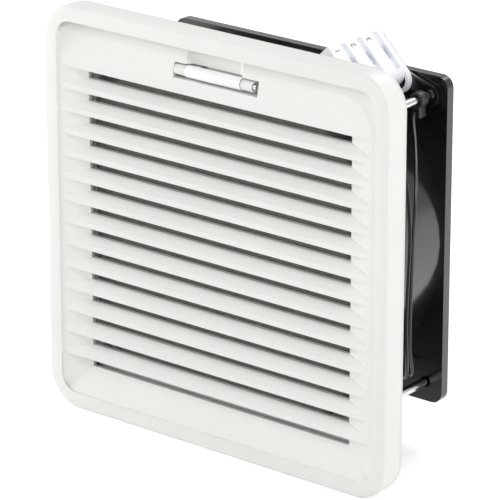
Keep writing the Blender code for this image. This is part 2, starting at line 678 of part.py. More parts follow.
def make_latch():
    half = LATCH_BARREL_LENGTH / 2
    lever = merged("latch_lever", [rod((-half, LATCH_Y, LATCH_Z), (half, LATCH_Y, LATCH_Z),
                                       LATCH_BARREL_RADIUS)], "latch_plastic")
    arm_low = STRIKE_Z + FIT_GAP + LATCH_NOSE_HEIGHT
    arm_high = arm_low + LATCH_ARM_THICKNESS
    nose_start = FIT_GAP
    arm_end = nose_start + LATCH_NOSE_LENGTH
    profile = [(LATCH_Y, LATCH_Z - LATCH_BARREL_RADIUS / 2), (LATCH_Y + LATCH_BARREL_RADIUS, arm_low),
               (nose_start, arm_low), (nose_start, arm_low - LATCH_NOSE_HEIGHT),
               (nose_start + LATCH_NOSE_LENGTH / 2, arm_low - LATCH_NOSE_HEIGHT),
               (arm_end, arm_low + FIT_GAP), (arm_end, arm_high),
               (LATCH_Y + LATCH_BARREL_RADIUS, arm_high), (LATCH_Y, LATCH_Z)]
    arm_half = LATCH_ARM_WIDTH / 2
    join(lever, "latch_arm", [outline([profile], -arm_half, arm_half, FACING_X)])
    bore = LATCH_PIN_RADIUS + FIT_GAP
    cut(lever, "latch_lever_bore", [rod((-half - CUT_MARGIN, LATCH_Y, LATCH_Z),
                                        (half + CUT_MARGIN, LATCH_Y, LATCH_Z), bore, 16)])
    coil_radius = LATCH_PIN_RADIUS + FIT_GAP / 2 + SPRING_WIRE_RADIUS
    seat = coil_radius + SPRING_WIRE_RADIUS + FIT_GAP / 2
    seat_length = (2 * SPRING_TURNS + 2) * SPRING_WIRE_RADIUS * 1.4
    cut(lever, "latch_spring_seat", [rod((half - seat_length, LATCH_Y, LATCH_Z),
                                         (half + CUT_MARGIN, LATCH_Y, LATCH_Z), seat, 16)])
    smooth(lever)
    axis_point = (0.0, LATCH_Y, LATCH_Z)
    set_origin(lever, axis_point)

    # The pin's right end shows in the room through which it is pushed in
    knuckle_end = half + FIT_GAP + LATCH_KNUCKLE_LENGTH
    pin_left = -knuckle_end + 2 * FIT_GAP
    pin_right = knuckle_end + LATCH_PIN_ROOM / 2
    pin = merged("latch_pin", [rod((pin_left, LATCH_Y, LATCH_Z), (pin_right, LATCH_Y, LATCH_Z),
                                   LATCH_PIN_RADIUS, 20)], "zinc_steel")
    smooth(pin)

    turns = SPRING_TURNS
    per_turn = 10
    pitch = 2.8 * SPRING_WIRE_RADIUS
    start = half - seat_length + 2 * SPRING_WIRE_RADIUS
    points = []
    for i in range(turns * per_turn + 1):
        angle = 2 * math.pi * i / per_turn
        points.append((start + pitch * i / per_turn, LATCH_Y + coil_radius * math.cos(angle),
                       LATCH_Z + coil_radius * math.sin(angle)))
    make_wire("latch_spring", points, SPRING_WIRE_RADIUS, "zinc_steel", 1, axis_point)


def make_wire(name, points, radius, material, resolution=2, origin=(0.0, 0.0, 0.0)):
    curve = bpy.data.curves.new(name, "CURVE")
    curve.dimensions = "3D"
    curve.bevel_depth = radius
    curve.bevel_resolution = resolution
    curve.render_resolution_u = 0
    curve.use_fill_caps = True
    spline = curve.splines.new("POLY")
    spline.points.add(len(points) - 1)
    for target, point in zip(spline.points, points):
        target.co = (*(Vector(point) - Vector(origin)), 1.0)
    curve.materials.append(MATERIALS[material])
    wire = bpy.data.objects.new(name, curve)
    wire.location = origin
    PARTS.objects.link(wire)


# Mounting frame, gasket and filter mat

def make_mounting_frame():
    outer = COVER_SIZE / 2 - FLANGE_INSET
    opening = TRAY_OPENING / 2
    flange = outline([rounded_square(outer, COVER_CORNER_RADIUS - FLANGE_INSET, 8),
                      rounded_square(opening, WINDOW_CORNER_RADIUS / 2, 3)], -FLANGE_THICKNESS, 0.0)
    frame = merged("mounting_frame", [flange], "frame_plastic")

    collar = COLLAR_SIZE / 2
    collar_radius = COLLAR_CORNER_RADIUS
    wall_loop = [rounded_square(collar, collar_radius, 4),
                 rounded_square(collar - COLLAR_WALL, collar_radius - COLLAR_WALL, 4)]
    join(frame, "frame_collar", [outline(wall_loop, -FLANGE_THICKNESS / 2, FRAME_DEPTH)])
    grid_plate = outline([rounded_square(collar - COLLAR_WALL / 2, collar_radius / 2, 3)],
                         GRID_Y, FRAME_DEPTH)
    join(frame, "frame_grid_plate", [grid_plate])
    tray_loop = [rounded_square(opening + TRAY_WALL, WINDOW_CORNER_RADIUS / 2 + TRAY_WALL, 3),
                 rounded_square(opening, WINDOW_CORNER_RADIUS / 2, 3)]
    join(frame, "frame_tray_wall", [outline(tray_loop, TRAY_FRONT_Y, -FLANGE_THICKNESS / 2)])

    # Square openings over the fan's inlet leave a touch grid between them
    openings = []
    reach = int(INLET_RADIUS // GRID_PITCH)
    half_opening = (GRID_PITCH - GRID_BAR) / 2
    for column in range(-reach, reach + 1):
        for row in range(-reach, reach + 1):
            x = column * GRID_PITCH
            z = row * GRID_PITCH
            if math.hypot(x, z) < INLET_RADIUS - half_opening / 2:
                openings.append(block((x - half_opening, GRID_Y - CUT_MARGIN, z - half_opening),
                                      (x + half_opening, FRAME_DEPTH + CUT_MARGIN,
                                       z + half_opening)))
    cut(frame, "grid_openings", openings)

    # Bosses for the fan screws, each with a pocket for its nut
    bosses = [rod((x, BOSS_Y, z), (x, GRID_Y + JOIN_OVERLAP, z), BOSS_RADIUS)
              for x, z in corners(HOLE_OFFSET)]
    join(frame, "screw_bosses", bosses)
    nut_radius = (NUT_ACROSS_FLATS / 2 + FIT_GAP) / math.cos(math.pi / 6)
    pocket_end = BOSS_Y + NUT_THICKNESS + 2 * FIT_GAP
    cut(frame, "nut_pockets", [rod((x, BOSS_Y - CUT_MARGIN, z), (x, pocket_end, z), nut_radius, 6)
                               for x, z in corners(HOLE_OFFSET)])
    bore = SCREW_RADIUS + FIT_GAP
    cut(frame, "boss_bores", [rod((x, pocket_end - FIT_GAP, z), (x, FRAME_DEPTH + CUT_MARGIN, z), bore)
                              for x, z in corners(HOLE_OFFSET)])

    # Gasket groove in the face that meets the panel
    groove_inner = COLLAR_SIZE / 2 + GASKET_WIDTH / 2
    groove_outer = groove_inner + GASKET_WIDTH + 2 * FIT_GAP
    groove = [rounded_square(groove_outer, COLLAR_CORNER_RADIUS + GASKET_WIDTH, 4),
              rounded_square(groove_inner, COLLAR_CORNER_RADIUS, 4)]
    cut(frame, "gasket_groove", [outline(groove, -GASKET_GROOVE_DEPTH, CUT_MARGIN)])

    add_clip_seats(frame)
    add_latch_strike(frame)
    add_hinge_hooks(frame)
    smooth(frame)


def add_latch_strike(frame):
    """The arm's window; its lower edge is the strike that the latch nose grips."""
    half = LATCH_ARM_WIDTH / 2 + 2 * FIT_GAP
    top = LATCH_Z + LATCH_SWING_ROOM
    cut(frame, "latch_window", [block((-half, TRAY_FRONT_Y - CUT_MARGIN, STRIKE_Z),
                                      (half, LATCH_NOSE_LENGTH + 4 * FIT_GAP, top))])


def add_hinge_hooks(frame):
    """Open hooks that hold the cover's moulded pins along the bottom edge."""
    bore = HINGE_PIN_RADIUS + FIT_GAP
    hooks = []
    webs = []
    bores = []
    mouths = []
    half = HINGE_HOOK_WIDTH / 2
    for sign in (-1, 1):
        left = sign * HINGE_OFFSET - half
        right = sign * HINGE_OFFSET + half
        hooks.append(rod((left, HINGE_Y, HINGE_Z), (right, HINGE_Y, HINGE_Z), HINGE_HOOK_RADIUS))
        webs.append(block((left, HINGE_Y, HINGE_Z - HINGE_PIN_RADIUS),
                          (right, -FLANGE_THICKNESS / 2, HINGE_Z + HINGE_HOOK_RADIUS - FIT_GAP)))
        bores.append(rod((left - CUT_MARGIN, HINGE_Y, HINGE_Z),
                         (right + CUT_MARGIN, HINGE_Y, HINGE_Z), bore, 20))
        mouths.append(block((left - CUT_MARGIN, HINGE_Y - HINGE_HOOK_RADIUS - CUT_MARGIN,
                             HINGE_Z - HINGE_PIN_RADIUS * 0.8),
                            (right + CUT_MARGIN, HINGE_Y, HINGE_Z + HINGE_PIN_RADIUS * 0.8)))
    join(frame, "hinge_hooks", hooks)
    join(frame, "hinge_hook_webs", webs)
    cut(frame, "hinge_hook_bores", bores)
    cut(frame, "hinge_hook_mouths", mouths)


def clip_turns():
    return [Matrix.Rotation(math.radians(90 * i), 4, "Y") for i in range(4)]


def add_clip_seats(frame):
    """A shallow seat and a hook hole in each side of the collar, for a panel clip."""
    collar = COLLAR_SIZE / 2
    half = CLIP_WIDTH / 2 + FIT_GAP
    seat_depth = CLIP_THICKNESS + 1.5 * FIT_GAP
    hole_y = FRAME_DEPTH - GRID_THICKNESS - 2 * CLIP_THICKNESS
    seats = []
    holes = []
    for turn in clip_turns():
        seat = block((collar - seat_depth, PANEL_THICKNESS, -half),
                     (collar + CUT_MARGIN, FRAME_DEPTH + CUT_MARGIN, half))
        hole = block((collar - COLLAR_WALL - CUT_MARGIN, hole_y - CLIP_THICKNESS - FIT_GAP, -half / 2),
                     (collar, hole_y + FIT_GAP, half / 2))
        seat.transform(turn)
        hole.transform(turn)
        seats.append(seat)
        holes.append(hole)
    cut(frame, "clip_seats", seats)
    cut(frame, "clip_hook_holes", holes)


def make_panel_clips():
    """Spring steel strips that spread behind the panel's edge."""
    collar = COLLAR_SIZE / 2
    base = collar - CLIP_THICKNESS - FIT_GAP / 2
    hook_y = FRAME_DEPTH - GRID_THICKNESS - 2 * CLIP_THICKNESS
    path = [(base, hook_y - FIT_GAP), (base, FRAME_DEPTH - 2 * CLIP_THICKNESS),
            (base + CLIP_THICKNESS, FRAME_DEPTH - CLIP_THICKNESS),
            (base + 2.2 * CLIP_THICKNESS, FRAME_DEPTH - 1.6 * CLIP_THICKNESS),
            (collar + CLIP_REACH, PANEL_THICKNESS + FIT_GAP)]
    for number, turn in enumerate(clip_turns(), 1):
        bm = bmesh.new()
        rows = []
        for side in (-1, 1):
            rows.append([bm.verts.new((x, y, side * CLIP_WIDTH / 2)) for x, y in path])
        for low, high in zip(zip(rows[0], rows[0][1:]), zip(rows[1], rows[1][1:])):
            bm.faces.new((low[0], low[1], high[1], high[0]))
        bmesh.ops.transform(bm, matrix=turn, verts=bm.verts)
        clip = add_object(f"panel_clip_{number}", mesh_from("panel_clip", bm), "zinc_steel")
        solid = clip.modifiers.new("thickness", "SOLIDIFY")
        solid.thickness = CLIP_THICKNESS
        solid.offset = 0.0
        solid.use_even_offset = True


def make_gasket():
    inner = COLLAR_SIZE / 2 + GASKET_WIDTH / 2 + FIT_GAP
    loops = [rounded_square(inner + GASKET_WIDTH, COLLAR_CORNER_RADIUS + GASKET_WIDTH, 4),
             rounded_square(inner, COLLAR_CORNER_RADIUS, 4)]
    start = -GASKET_GROOVE_DEPTH + FIT_GAP
    merged("panel_gasket", [outline(loops, start, 0.0)], "gasket_foam")


def make_filter_mat():
    half = MAT_SIZE / 2
    inset = half - MAT_CORNER_CUT
    loop = [(half, inset), (inset, half), (-inset, half), (-half, inset),
            (-half, -inset), (-inset, -half), (inset, -half), (half, -inset)]
    mat = outline([loop], GRILLE_BACK_Y + 2 * FIT_GAP, GRID_Y - FIT_GAP)
    merged("filter_mat", [mat], "filter_fibre")


# Fan housing

def make_fan_housing():
    flare = DUCT_MOUTH_RADIUS - DUCT_THROAT_RADIUS
    flare_steps = [(DUCT_MOUTH_RADIUS, 0.0), (DUCT_THROAT_RADIUS + flare / 4, flare),
                   (DUCT_THROAT_RADIUS, 3 * flare)]
    bore_profile = [(0.0, FAN_DEPTH + CUT_MARGIN), (DUCT_MOUTH_RADIUS, FAN_DEPTH + CUT_MARGIN)]
    bore_profile += [(radius, FAN_DEPTH - depth) for radius, depth in flare_steps]
    bore_profile += list(reversed(flare_steps))
    bore_profile += [(DUCT_MOUTH_RADIUS, -CUT_MARGIN), (0.0, -CUT_MARGIN)]
    duct_loop = arc((0, 0), DUCT_OUTER_RADIUS, 0, 2 * math.pi * (DUCT_SEGMENTS - 1) / DUCT_SEGMENTS,
                    DUCT_SEGMENTS - 1)
    housing = merged("fan_housing", [outline([duct_loop], FAN_FRONT_Y + JOIN_OVERLAP,
                                             FAN_BACK_Y - JOIN_OVERLAP)], "fan_paint")
    square = rounded_square(FAN_SIZE / 2, FAN_CORNER_RADIUS)
    join(housing, "fan_flanges", [outline([square], FAN_FRONT_Y, FAN_FRONT_Y + FAN_FLANGE),
                                  outline([square], FAN_BACK_Y - FAN_FLANGE, FAN_BACK_Y)])
    bore = turned("duct_bore", bore_profile, None, DUCT_SEGMENTS)
    bore.matrix_world = Matrix.Translation((0, FAN_FRONT_Y, 0)) @ TURNED_ABOUT_Y
    boolean(housing, bore, "DIFFERENCE")
    cut(housing, "fan_screw_holes", [rod((x, FAN_FRONT_Y - CUT_MARGIN, z),
                                         (x, FAN_BACK_Y + CUT_MARGIN, z), FAN_HOLE_RADIUS)
                                     for x, z in corners(HOLE_OFFSET)])

    # Motor plate on four struts, one of them a channel for the leads
    plate = rod((0, MOTOR_PLATE_Y, 0), (0, MOTOR_PLATE_BACK_Y, 0), MOTOR_PLATE_RADIUS, 48)
    tube_radius = BEARING_RADIUS + FIT_GAP + BEARING_TUBE_WALL
    tube = rod((0, BEARING_TUBE_Y, 0), (0, MOTOR_PLATE_Y + JOIN_OVERLAP, 0), tube_radius)
    strut_start = MOTOR_PLATE_RADIUS - 3.0 * MM
    strut_end = (DUCT_MOUTH_RADIUS + DUCT_OUTER_RADIUS) / 2 - FIT_GAP
    struts = []
    for number in range(4):
        width = CABLE_STRUT_WIDTH if number == 0 else STRUT_WIDTH
        strut = block((strut_start, STRUT_Y, -width / 2),
                      (strut_end, MOTOR_PLATE_BACK_Y - FIT_GAP, width / 2))
        strut.transform(Matrix.Rotation(math.radians(45 + 90 * number), 4, "Y"))
        struts.append(strut)
    join(housing, "motor_struts", struts)
    join(housing, "motor_plate", [plate])
    join(housing, "bearing_tube", [tube])
    bearing_bore = BEARING_RADIUS + FIT_GAP
    cap_seat = CAP_RADIUS + FIT_GAP
    cut(housing, "bearing_bore", [rod((0, BEARING_TUBE_Y - CUT_MARGIN, 0),
                                      (0, MOTOR_PLATE_BACK_Y + CUT_MARGIN, 0), bearing_bore)])
    cut(housing, "cap_seat", [rod((0, MOTOR_PLATE_BACK_Y - CAP_THICKNESS - FIT_GAP, 0),
                                  (0, MOTOR_PLATE_BACK_Y + CUT_MARGIN, 0), cap_seat)])

    # The channel opens to the back, and a slot in the duct wall lets the leads out
    half = CABLE_CHANNEL_WIDTH / 2
    channel = block((CABLE_CHANNEL_START, CABLE_CHANNEL_Y, -half),
                    (DUCT_THROAT_RADIUS - FIT_GAP, MOTOR_PLATE_BACK_Y + CUT_MARGIN, half))
    slot = block((DUCT_THROAT_RADIUS - CUT_MARGIN, CABLE_CHANNEL_Y + FIT_GAP / 10, -half + FIT_GAP),
                 (DUCT_OUTER_RADIUS + CUT_MARGIN, FAN_BACK_Y - FAN_FLANGE + FIT_GAP, half - FIT_GAP))
    for name, mesh in (("cable_channel", channel), ("cable_slot", slot)):
        mesh.transform(CABLE_AXES)
        cut(housing, name, [mesh])
    smooth(housing)


# Impeller and rotor

def blade_mesh(number):
    """One blade: a twisted, skewed surface from the hub wall to the tip."""
    chord_steps = 5
    span_steps = 3
    root = HUB_RADIUS - HUB_WALL / 2
    front = HUB_FRONT_Y + 2.0 * MM
    bm = bmesh.new()
    rows = []
    for i in range(span_steps + 1):
        share = i / span_steps
        radius = root + (BLADE_TIP_RADIUS - root) * share
        row = []
        for j in range(chord_steps + 1):
            chord = j / chord_steps
            camber = chord + 0.10 * math.sin(math.pi * chord)
            angle = (2 * math.pi * number / BLADE_COUNT + BLADE_WRAP * camber
                     + BLADE_SKEW * share)
            y = front + BLADE_LENGTH * (chord + 0.05 * share * (1 - 2 * chord))
            row.append(bm.verts.new((radius * math.cos(angle), y, radius * math.sin(angle))))
        rows.append(row)
    for inner, outer in zip(rows, rows[1:]):
        for j in range(chord_steps):
            bm.faces.new((inner[j], inner[j + 1], outer[j + 1], outer[j]))
    return mesh_from("blade", bm)


def make_impeller():
    inner = HUB_RADIUS - HUB_WALL
    back = HUB_LENGTH
    profile = [(HUB_RADIUS, back), (HUB_RADIUS, 1.5 * MM), (HUB_RADIUS - 1.5 * MM, 0.0),
               (SHAFT_RADIUS + FIT_GAP, 0.0), (SHAFT_RADIUS + FIT_GAP, HUB_WALL),
               (inner, HUB_WALL), (inner, back)]
    impeller = turned("impeller", profile, "impeller_plastic", 42)
    impeller.matrix_world = Matrix.Translation((0, HUB_FRONT_Y, 0)) @ TURNED_ABOUT_Y
    blades = merged("blades", [blade_mesh(number) for number in range(BLADE_COUNT)])
    solid = blades.modifiers.new("thickness", "SOLIDIFY")
    solid.thickness = BLADE_THICKNESS
    solid.offset = 0.0
    boolean(impeller, blades, "UNION")
    smooth(impeller)


def make_rotor():
    outer = HUB_RADIUS - HUB_WALL - FIT_GAP
    inner = outer - ROTOR_WALL
    boss = SHAFT_RADIUS + 2.6 * MM
    profile = [(outer, ROTOR_LENGTH), (outer, 0.0), (SHAFT_RADIUS + FIT_GAP, 0.0),
               (SHAFT_RADIUS + FIT_GAP, ROTOR_WALL + 2.2 * MM), (boss, ROTOR_WALL + 2.2 * MM),
               (boss, ROTOR_WALL), (inner, ROTOR_WALL), (inner, ROTOR_LENGTH)]
    cup = turned("rotor_cup", profile, "electrical_steel", 36)
    cup.matrix_world = Matrix.Translation((0, ROTOR_FRONT_Y, 0)) @ TURNED_ABOUT_Y
    smooth(cup)
    groove = SHAFT_RADIUS - 0.4 * MM
    clip_y = MOTOR_PLATE_BACK_Y - CAP_THICKNESS - 2.4 * MM
    end_y = clip_y + 1.6 * MM
    start_y = HUB_FRONT_Y - FIT_GAP
    shaft_profile = [(0.0, end_y), (SHAFT_RADIUS, end_y), (SHAFT_RADIUS, clip_y + 0.7 * MM),
                     (groove, clip_y + 0.7 * MM), (groove, clip_y - 0.1 * MM),
                     (SHAFT_RADIUS, clip_y - 0.1 * MM), (SHAFT_RADIUS, start_y), (0.0, start_y)]
    smooth(turned("rotor_shaft", shaft_profile, "zinc_steel", 24))
    clip_outer = BEARING_RADIUS - 0.4 * MM
    clip_inner = groove + FIT_GAP / 2
    mouth = math.radians(35)
    loop = (arc((0, 0), clip_outer, mouth, 2 * math.pi - mouth, 20)
            + arc((0, 0), clip_inner, 2 * math.pi - mouth, mouth, 16))
    clip = outline([loop], clip_y + 0.1 * MM, clip_y + 0.5 * MM)
    merged("shaft_clip", [clip], "zinc_steel")


def make_bearings():
    for name, start in (("bearing_front", BEARING_TUBE_Y + FIT_GAP),
                        ("bearing_rear", MOTOR_PLATE_Y - BEARING_LENGTH)):
        profile = [(BEARING_RADIUS, start + BEARING_LENGTH), (BEARING_RADIUS, start),
                   (SHAFT_RADIUS + FIT_GAP, start), (SHAFT_RADIUS + FIT_GAP, start + BEARING_LENGTH)]
        smooth(turned(name, profile, "zinc_steel", 32))
    cap_y = MOTOR_PLATE_BACK_Y - CAP_THICKNESS
    cap = rod((0, cap_y, 0), (0, MOTOR_PLATE_BACK_Y, 0), CAP_RADIUS, 32)
    smooth(merged("bearing_cap", [cap], "fan_paint"))


def make_stator():
    """A four-pole core round the bearing tube, with one coil on each pole."""
    start = MOTOR_PLATE_Y - CORE_START - CORE_LENGTH + 4.0 * MM
    end = start + CORE_LENGTH
    tube = BEARING_RADIUS + FIT_GAP + BEARING_TUBE_WALL + FIT_GAP
    yoke = tube + CORE_YOKE_WALL
    half_pole = POLE_WIDTH / 2
    shoe_inner = CORE_RADIUS - POLE_SHOE
    loop = []
    for pole in range(4):
        middle = pole * math.pi / 2
        lean = math.asin(half_pole / yoke)
        neck = math.asin(half_pole / shoe_inner)
        tip = math.pi / 4 - POLE_GAP_ANGLE / 2
        loop.append((yoke * math.cos(middle - lean), yoke * math.sin(middle - lean)))
        loop.append((shoe_inner * math.cos(middle - neck), shoe_inner * math.sin(middle - neck)))
        loop += arc((0, 0), shoe_inner, middle - tip, middle - tip, 1)[:1]
        loop += arc((0, 0), CORE_RADIUS, middle - tip, middle + tip, 10)
        loop += arc((0, 0), shoe_inner, middle + tip, middle + tip, 1)[:1]
        loop.append((shoe_inner * math.cos(middle + neck), shoe_inner * math.sin(middle + neck)))
        loop.append((yoke * math.cos(middle + lean), yoke * math.sin(middle + lean)))
    hole = arc((0, 0), tube, 0, 2 * math.pi * 23 / 24, 23)
    merged("stator_core", [outline([loop, hole], start, end)], "electrical_steel")

    centre_y = (start + end) / 2
    inner_half = half_pole + FIT_GAP
    inner_length = CORE_LENGTH / 2 + FIT_GAP
    for pole in range(4):
        outer_half = inner_half + COIL_WALL
        outer_length = inner_length + COIL_WALL
        ring = [[(u, centre_y + v) for u, v in rounded_rectangle(outer_half, outer_length, COIL_WALL)],
                [(u, centre_y + v) for u, v in rounded_rectangle(inner_half, inner_length, 0.8 * MM)]]
        coil = outline(ring, COIL_START_RADIUS, COIL_END_RADIUS, Matrix.Identity(4))
        coil.transform(Matrix.Rotation(math.pi / 2 * pole, 4, "Y"))
        smooth(merged(f"stator_coil_{pole + 1}", [coil], "copper_wire"))


def rounded_rectangle(half_u, half_v, radius, steps=3):
    points = []
    for quarter, (su, sv) in enumerate(((1, 1), (-1, 1), (-1, -1), (1, -1))):
        centre = (su * (half_u - radius), sv * (half_v - radius))
        start = quarter * math.pi / 2
        points += arc(centre, radius, start, start + math.pi / 2, steps)
    return points


# Screws, nuts and finger guard

def make_fasteners():
    head_end = SCREW_HEAD_Y + SCREW_HEAD_HEIGHT
    tip = SCREW_HEAD_Y - SCREW_LENGTH
    dome = SCREW_HEAD_RADIUS * 0.55
    profile = [(0.0, head_end), (dome, head_end), (SCREW_HEAD_RADIUS, head_end - 0.9 * MM),
               (SCREW_HEAD_RADIUS, SCREW_HEAD_Y), (SCREW_RADIUS, SCREW_HEAD_Y),
               (SCREW_RADIUS, tip + 0.4 * MM), (SCREW_RADIUS - 0.4 * MM, tip), (0.0, tip)]
    nut_start = BOSS_Y + FIT_GAP
    nut_radius = NUT_ACROSS_FLATS / 2 / math.cos(math.pi / 6)
    for number, (x, z) in enumerate(corners(HOLE_OFFSET), 1):
        screw = turned(f"fan_screw_{number}", profile, "zinc_steel", 20)
        screw.matrix_world = Matrix.Translation((x, 0, z)) @ TURNED_ABOUT_Y
        smooth(screw)
        nut = merged(f"fan_nut_{number}", [rod((x, nut_start, z), (x, nut_start + NUT_THICKNESS, z),
                                               nut_radius, 6)], "zinc_steel")
        cut(nut, f"nut_thread_{number}", [rod((x, nut_start - CUT_MARGIN, z),
                                              (x, nut_start + NUT_THICKNESS + CUT_MARGIN, z),
                                              SCREW_RADIUS + FIT_GAP, 16)])


def ring_mesh(radius, centre, segments, sides=6):
    bm = bmesh.new()
    rows = []
    for i in range(segments):
        angle = 2 * math.pi * i / segments
        row = []
        for j in range(sides):
            turn = 2 * math.pi * (j + 0.5) / sides
            reach = radius + GUARD_WIRE_RADIUS * math.cos(turn)
            row.append(bm.verts.new((centre[0] + reach * math.cos(angle),
                                     centre[1] + GUARD_WIRE_RADIUS * math.sin(turn),
                                     centre[2] + reach * math.sin(angle))))
        rows.append(row)
    for i in range(segments):
        for j in range(sides):
            bm.faces.new((rows[i][j], rows[i][(j + 1) % sides],
                          rows[(i + 1) % segments][(j + 1) % sides], rows[(i + 1) % segments][j]))
    bmesh.ops.recalc_face_normals(bm, faces=bm.faces)
    return mesh_from("ring", bm)


def make_finger_guard():
    ring_y = GUARD_LEG_Y + GUARD_RING_SETBACK
    spacing = (GUARD_RING_OUTER_RADIUS - GUARD_RING_INNER_RADIUS) / (GUARD_RING_COUNT - 1)
    rings = [ring_mesh(GUARD_RING_INNER_RADIUS + index * spacing, (0, ring_y, 0), 20 + 4 * index)
             for index in range(GUARD_RING_COUNT)]
    eyes = [ring_mesh(GUARD_EYE_RADIUS, (x, GUARD_LEG_Y, z), 12) for x, z in corners(HOLE_OFFSET)]
    guard = merged("finger_guard", rings + eyes, "zinc_steel")
    legs = []
    reach = HOLE_OFFSET * math.sqrt(2) - GUARD_EYE_RADIUS
    for number in range(4):
        leg = rod((GUARD_RING_INNER_RADIUS - FIT_GAP, GUARD_LEG_Y, 0), (reach, GUARD_LEG_Y, 0),
                  GUARD_WIRE_RADIUS, 8)
        leg.transform(Matrix.Rotation(math.radians(45 + 90 * number), 4, "Y"))
        legs.append(leg)
    join(guard, "guard_legs", legs)
    smooth(guard, 50.0)


# Terminal block

def channel_y(index):
    """The middle of the channel along the rear side of a pole."""
    return TERMINAL_FRONT_Y + (index + 1) * TERMINAL_PITCH - CHANNEL_WIDTH / 2


def wire_entry_y(index):
    return channel_y(index) - WIRE_ENTRY_SHIFT


def bracket_screw_places():
    return [(across, TERMINAL_BOTTOM + rise) for across, rise in BRACKET_SCREW_PLACES]


def terminal_foot_mesh():
    """A flange with one round end; the eye in that end shows beside the block."""
    centre = (TERMINAL_FOOT_RIGHT - TERMINAL_FOOT_RADIUS, TERMINAL_FOOT_CENTRE)
    left = TERMINAL_LEFT + FIT_GAP
    foot = arc(centre, TERMINAL_FOOT_RADIUS, -math.pi / 2, math.pi / 2, 12)
    foot += [(left, TERMINAL_FOOT_CENTRE + TERMINAL_FOOT_RADIUS),
             (left, TERMINAL_FOOT_CENTRE - TERMINAL_FOOT_RADIUS)]
    eye = arc(centre, TERMINAL_FOOT_HOLE_RADIUS, 0, 2 * math.pi * 23 / 24, 23)
    return outline([foot, eye], TERMINAL_BACK_Y - JOIN_OVERLAP, TERMINAL_BACK_Y + TERMINAL_FOOT)


def make_terminal_block():
    round_centre = (TERMINAL_RIGHT - TERMINAL_ROUND, TERMINAL_TOP - TERMINAL_ROUND)
    loop = [(TERMINAL_LEFT, TERMINAL_TOP), (TERMINAL_LEFT, TERMINAL_BOTTOM),
            (TERMINAL_RIGHT, TERMINAL_BOTTOM)]
    loop += arc(round_centre, TERMINAL_ROUND, 0, math.pi / 2, 8)
    body = merged("terminal_block", [outline([loop], TERMINAL_FRONT_Y, TERMINAL_BACK_Y)],
                  "terminal_plastic")
    join(body, "terminal_foot", [terminal_foot_mesh()])
    channels = []
    wells = []
    entries = []
    half_u = BUTTON_LENGTH / 2 + FIT_GAP
    half_v = BUTTON_WIDTH / 2 + FIT_GAP
    for index in range(TERMINAL_POLES):
        y = channel_y(index)
        channels.append(block((CHANNEL_START, y - CHANNEL_WIDTH / 2, TERMINAL_TOP - CHANNEL_DEPTH),
                              (CHANNEL_END, y + CHANNEL_WIDTH / 2, TERMINAL_TOP + CUT_MARGIN)))
        wells.append(block((BUTTON_CENTRE - half_u, y - half_v, TERMINAL_TOP - BUTTON_WELL_DEPTH),
                           (BUTTON_CENTRE + half_u, y + half_v, TERMINAL_TOP)))
        y = wire_entry_y(index)
        entries.append(rod((TERMINAL_RIGHT + CUT_MARGIN, y, WIRE_ENTRY_HEIGHT),
                           (TERMINAL_RIGHT - WIRE_ENTRY_DEPTH, y, WIRE_ENTRY_HEIGHT),
                           WIRE_ENTRY_RADIUS, 16))
        entries.append(rod((TERMINAL_LEFT - CUT_MARGIN, y, WIRE_ENTRY_HEIGHT),
                           (TERMINAL_LEFT + 2 * WIRE_ENTRY_DEPTH, y, WIRE_ENTRY_HEIGHT),
                           WIRE_ENTRY_RADIUS, 16))
    cut(body, "pole_channels", channels)
    cut(body, "button_wells", wells)
    cut(body, "wire_entries", entries)
    screw_y = TERMINAL_BACK_Y + TERMINAL_FOOT
    hole_depth = BRACKET_SCREW_LENGTH - BRACKET_THICKNESS + FIT_GAP
    holes = [rod((u, screw_y - hole_depth, v), (u, screw_y + CUT_MARGIN, v),
                 BRACKET_SCREW_RADIUS + FIT_GAP, 16) for u, v in bracket_screw_places()]
    cut(body, "bracket_screw_holes", holes)
    body.matrix_world = TERMINAL_AXES
    for name in ("terminal_foot", "pole_channels", "button_wells", "wire_entries",
                 "bracket_screw_holes"):
        bpy.data.objects[name].matrix_world = TERMINAL_AXES
    smooth(body)
    make_terminal_inner_pieces()


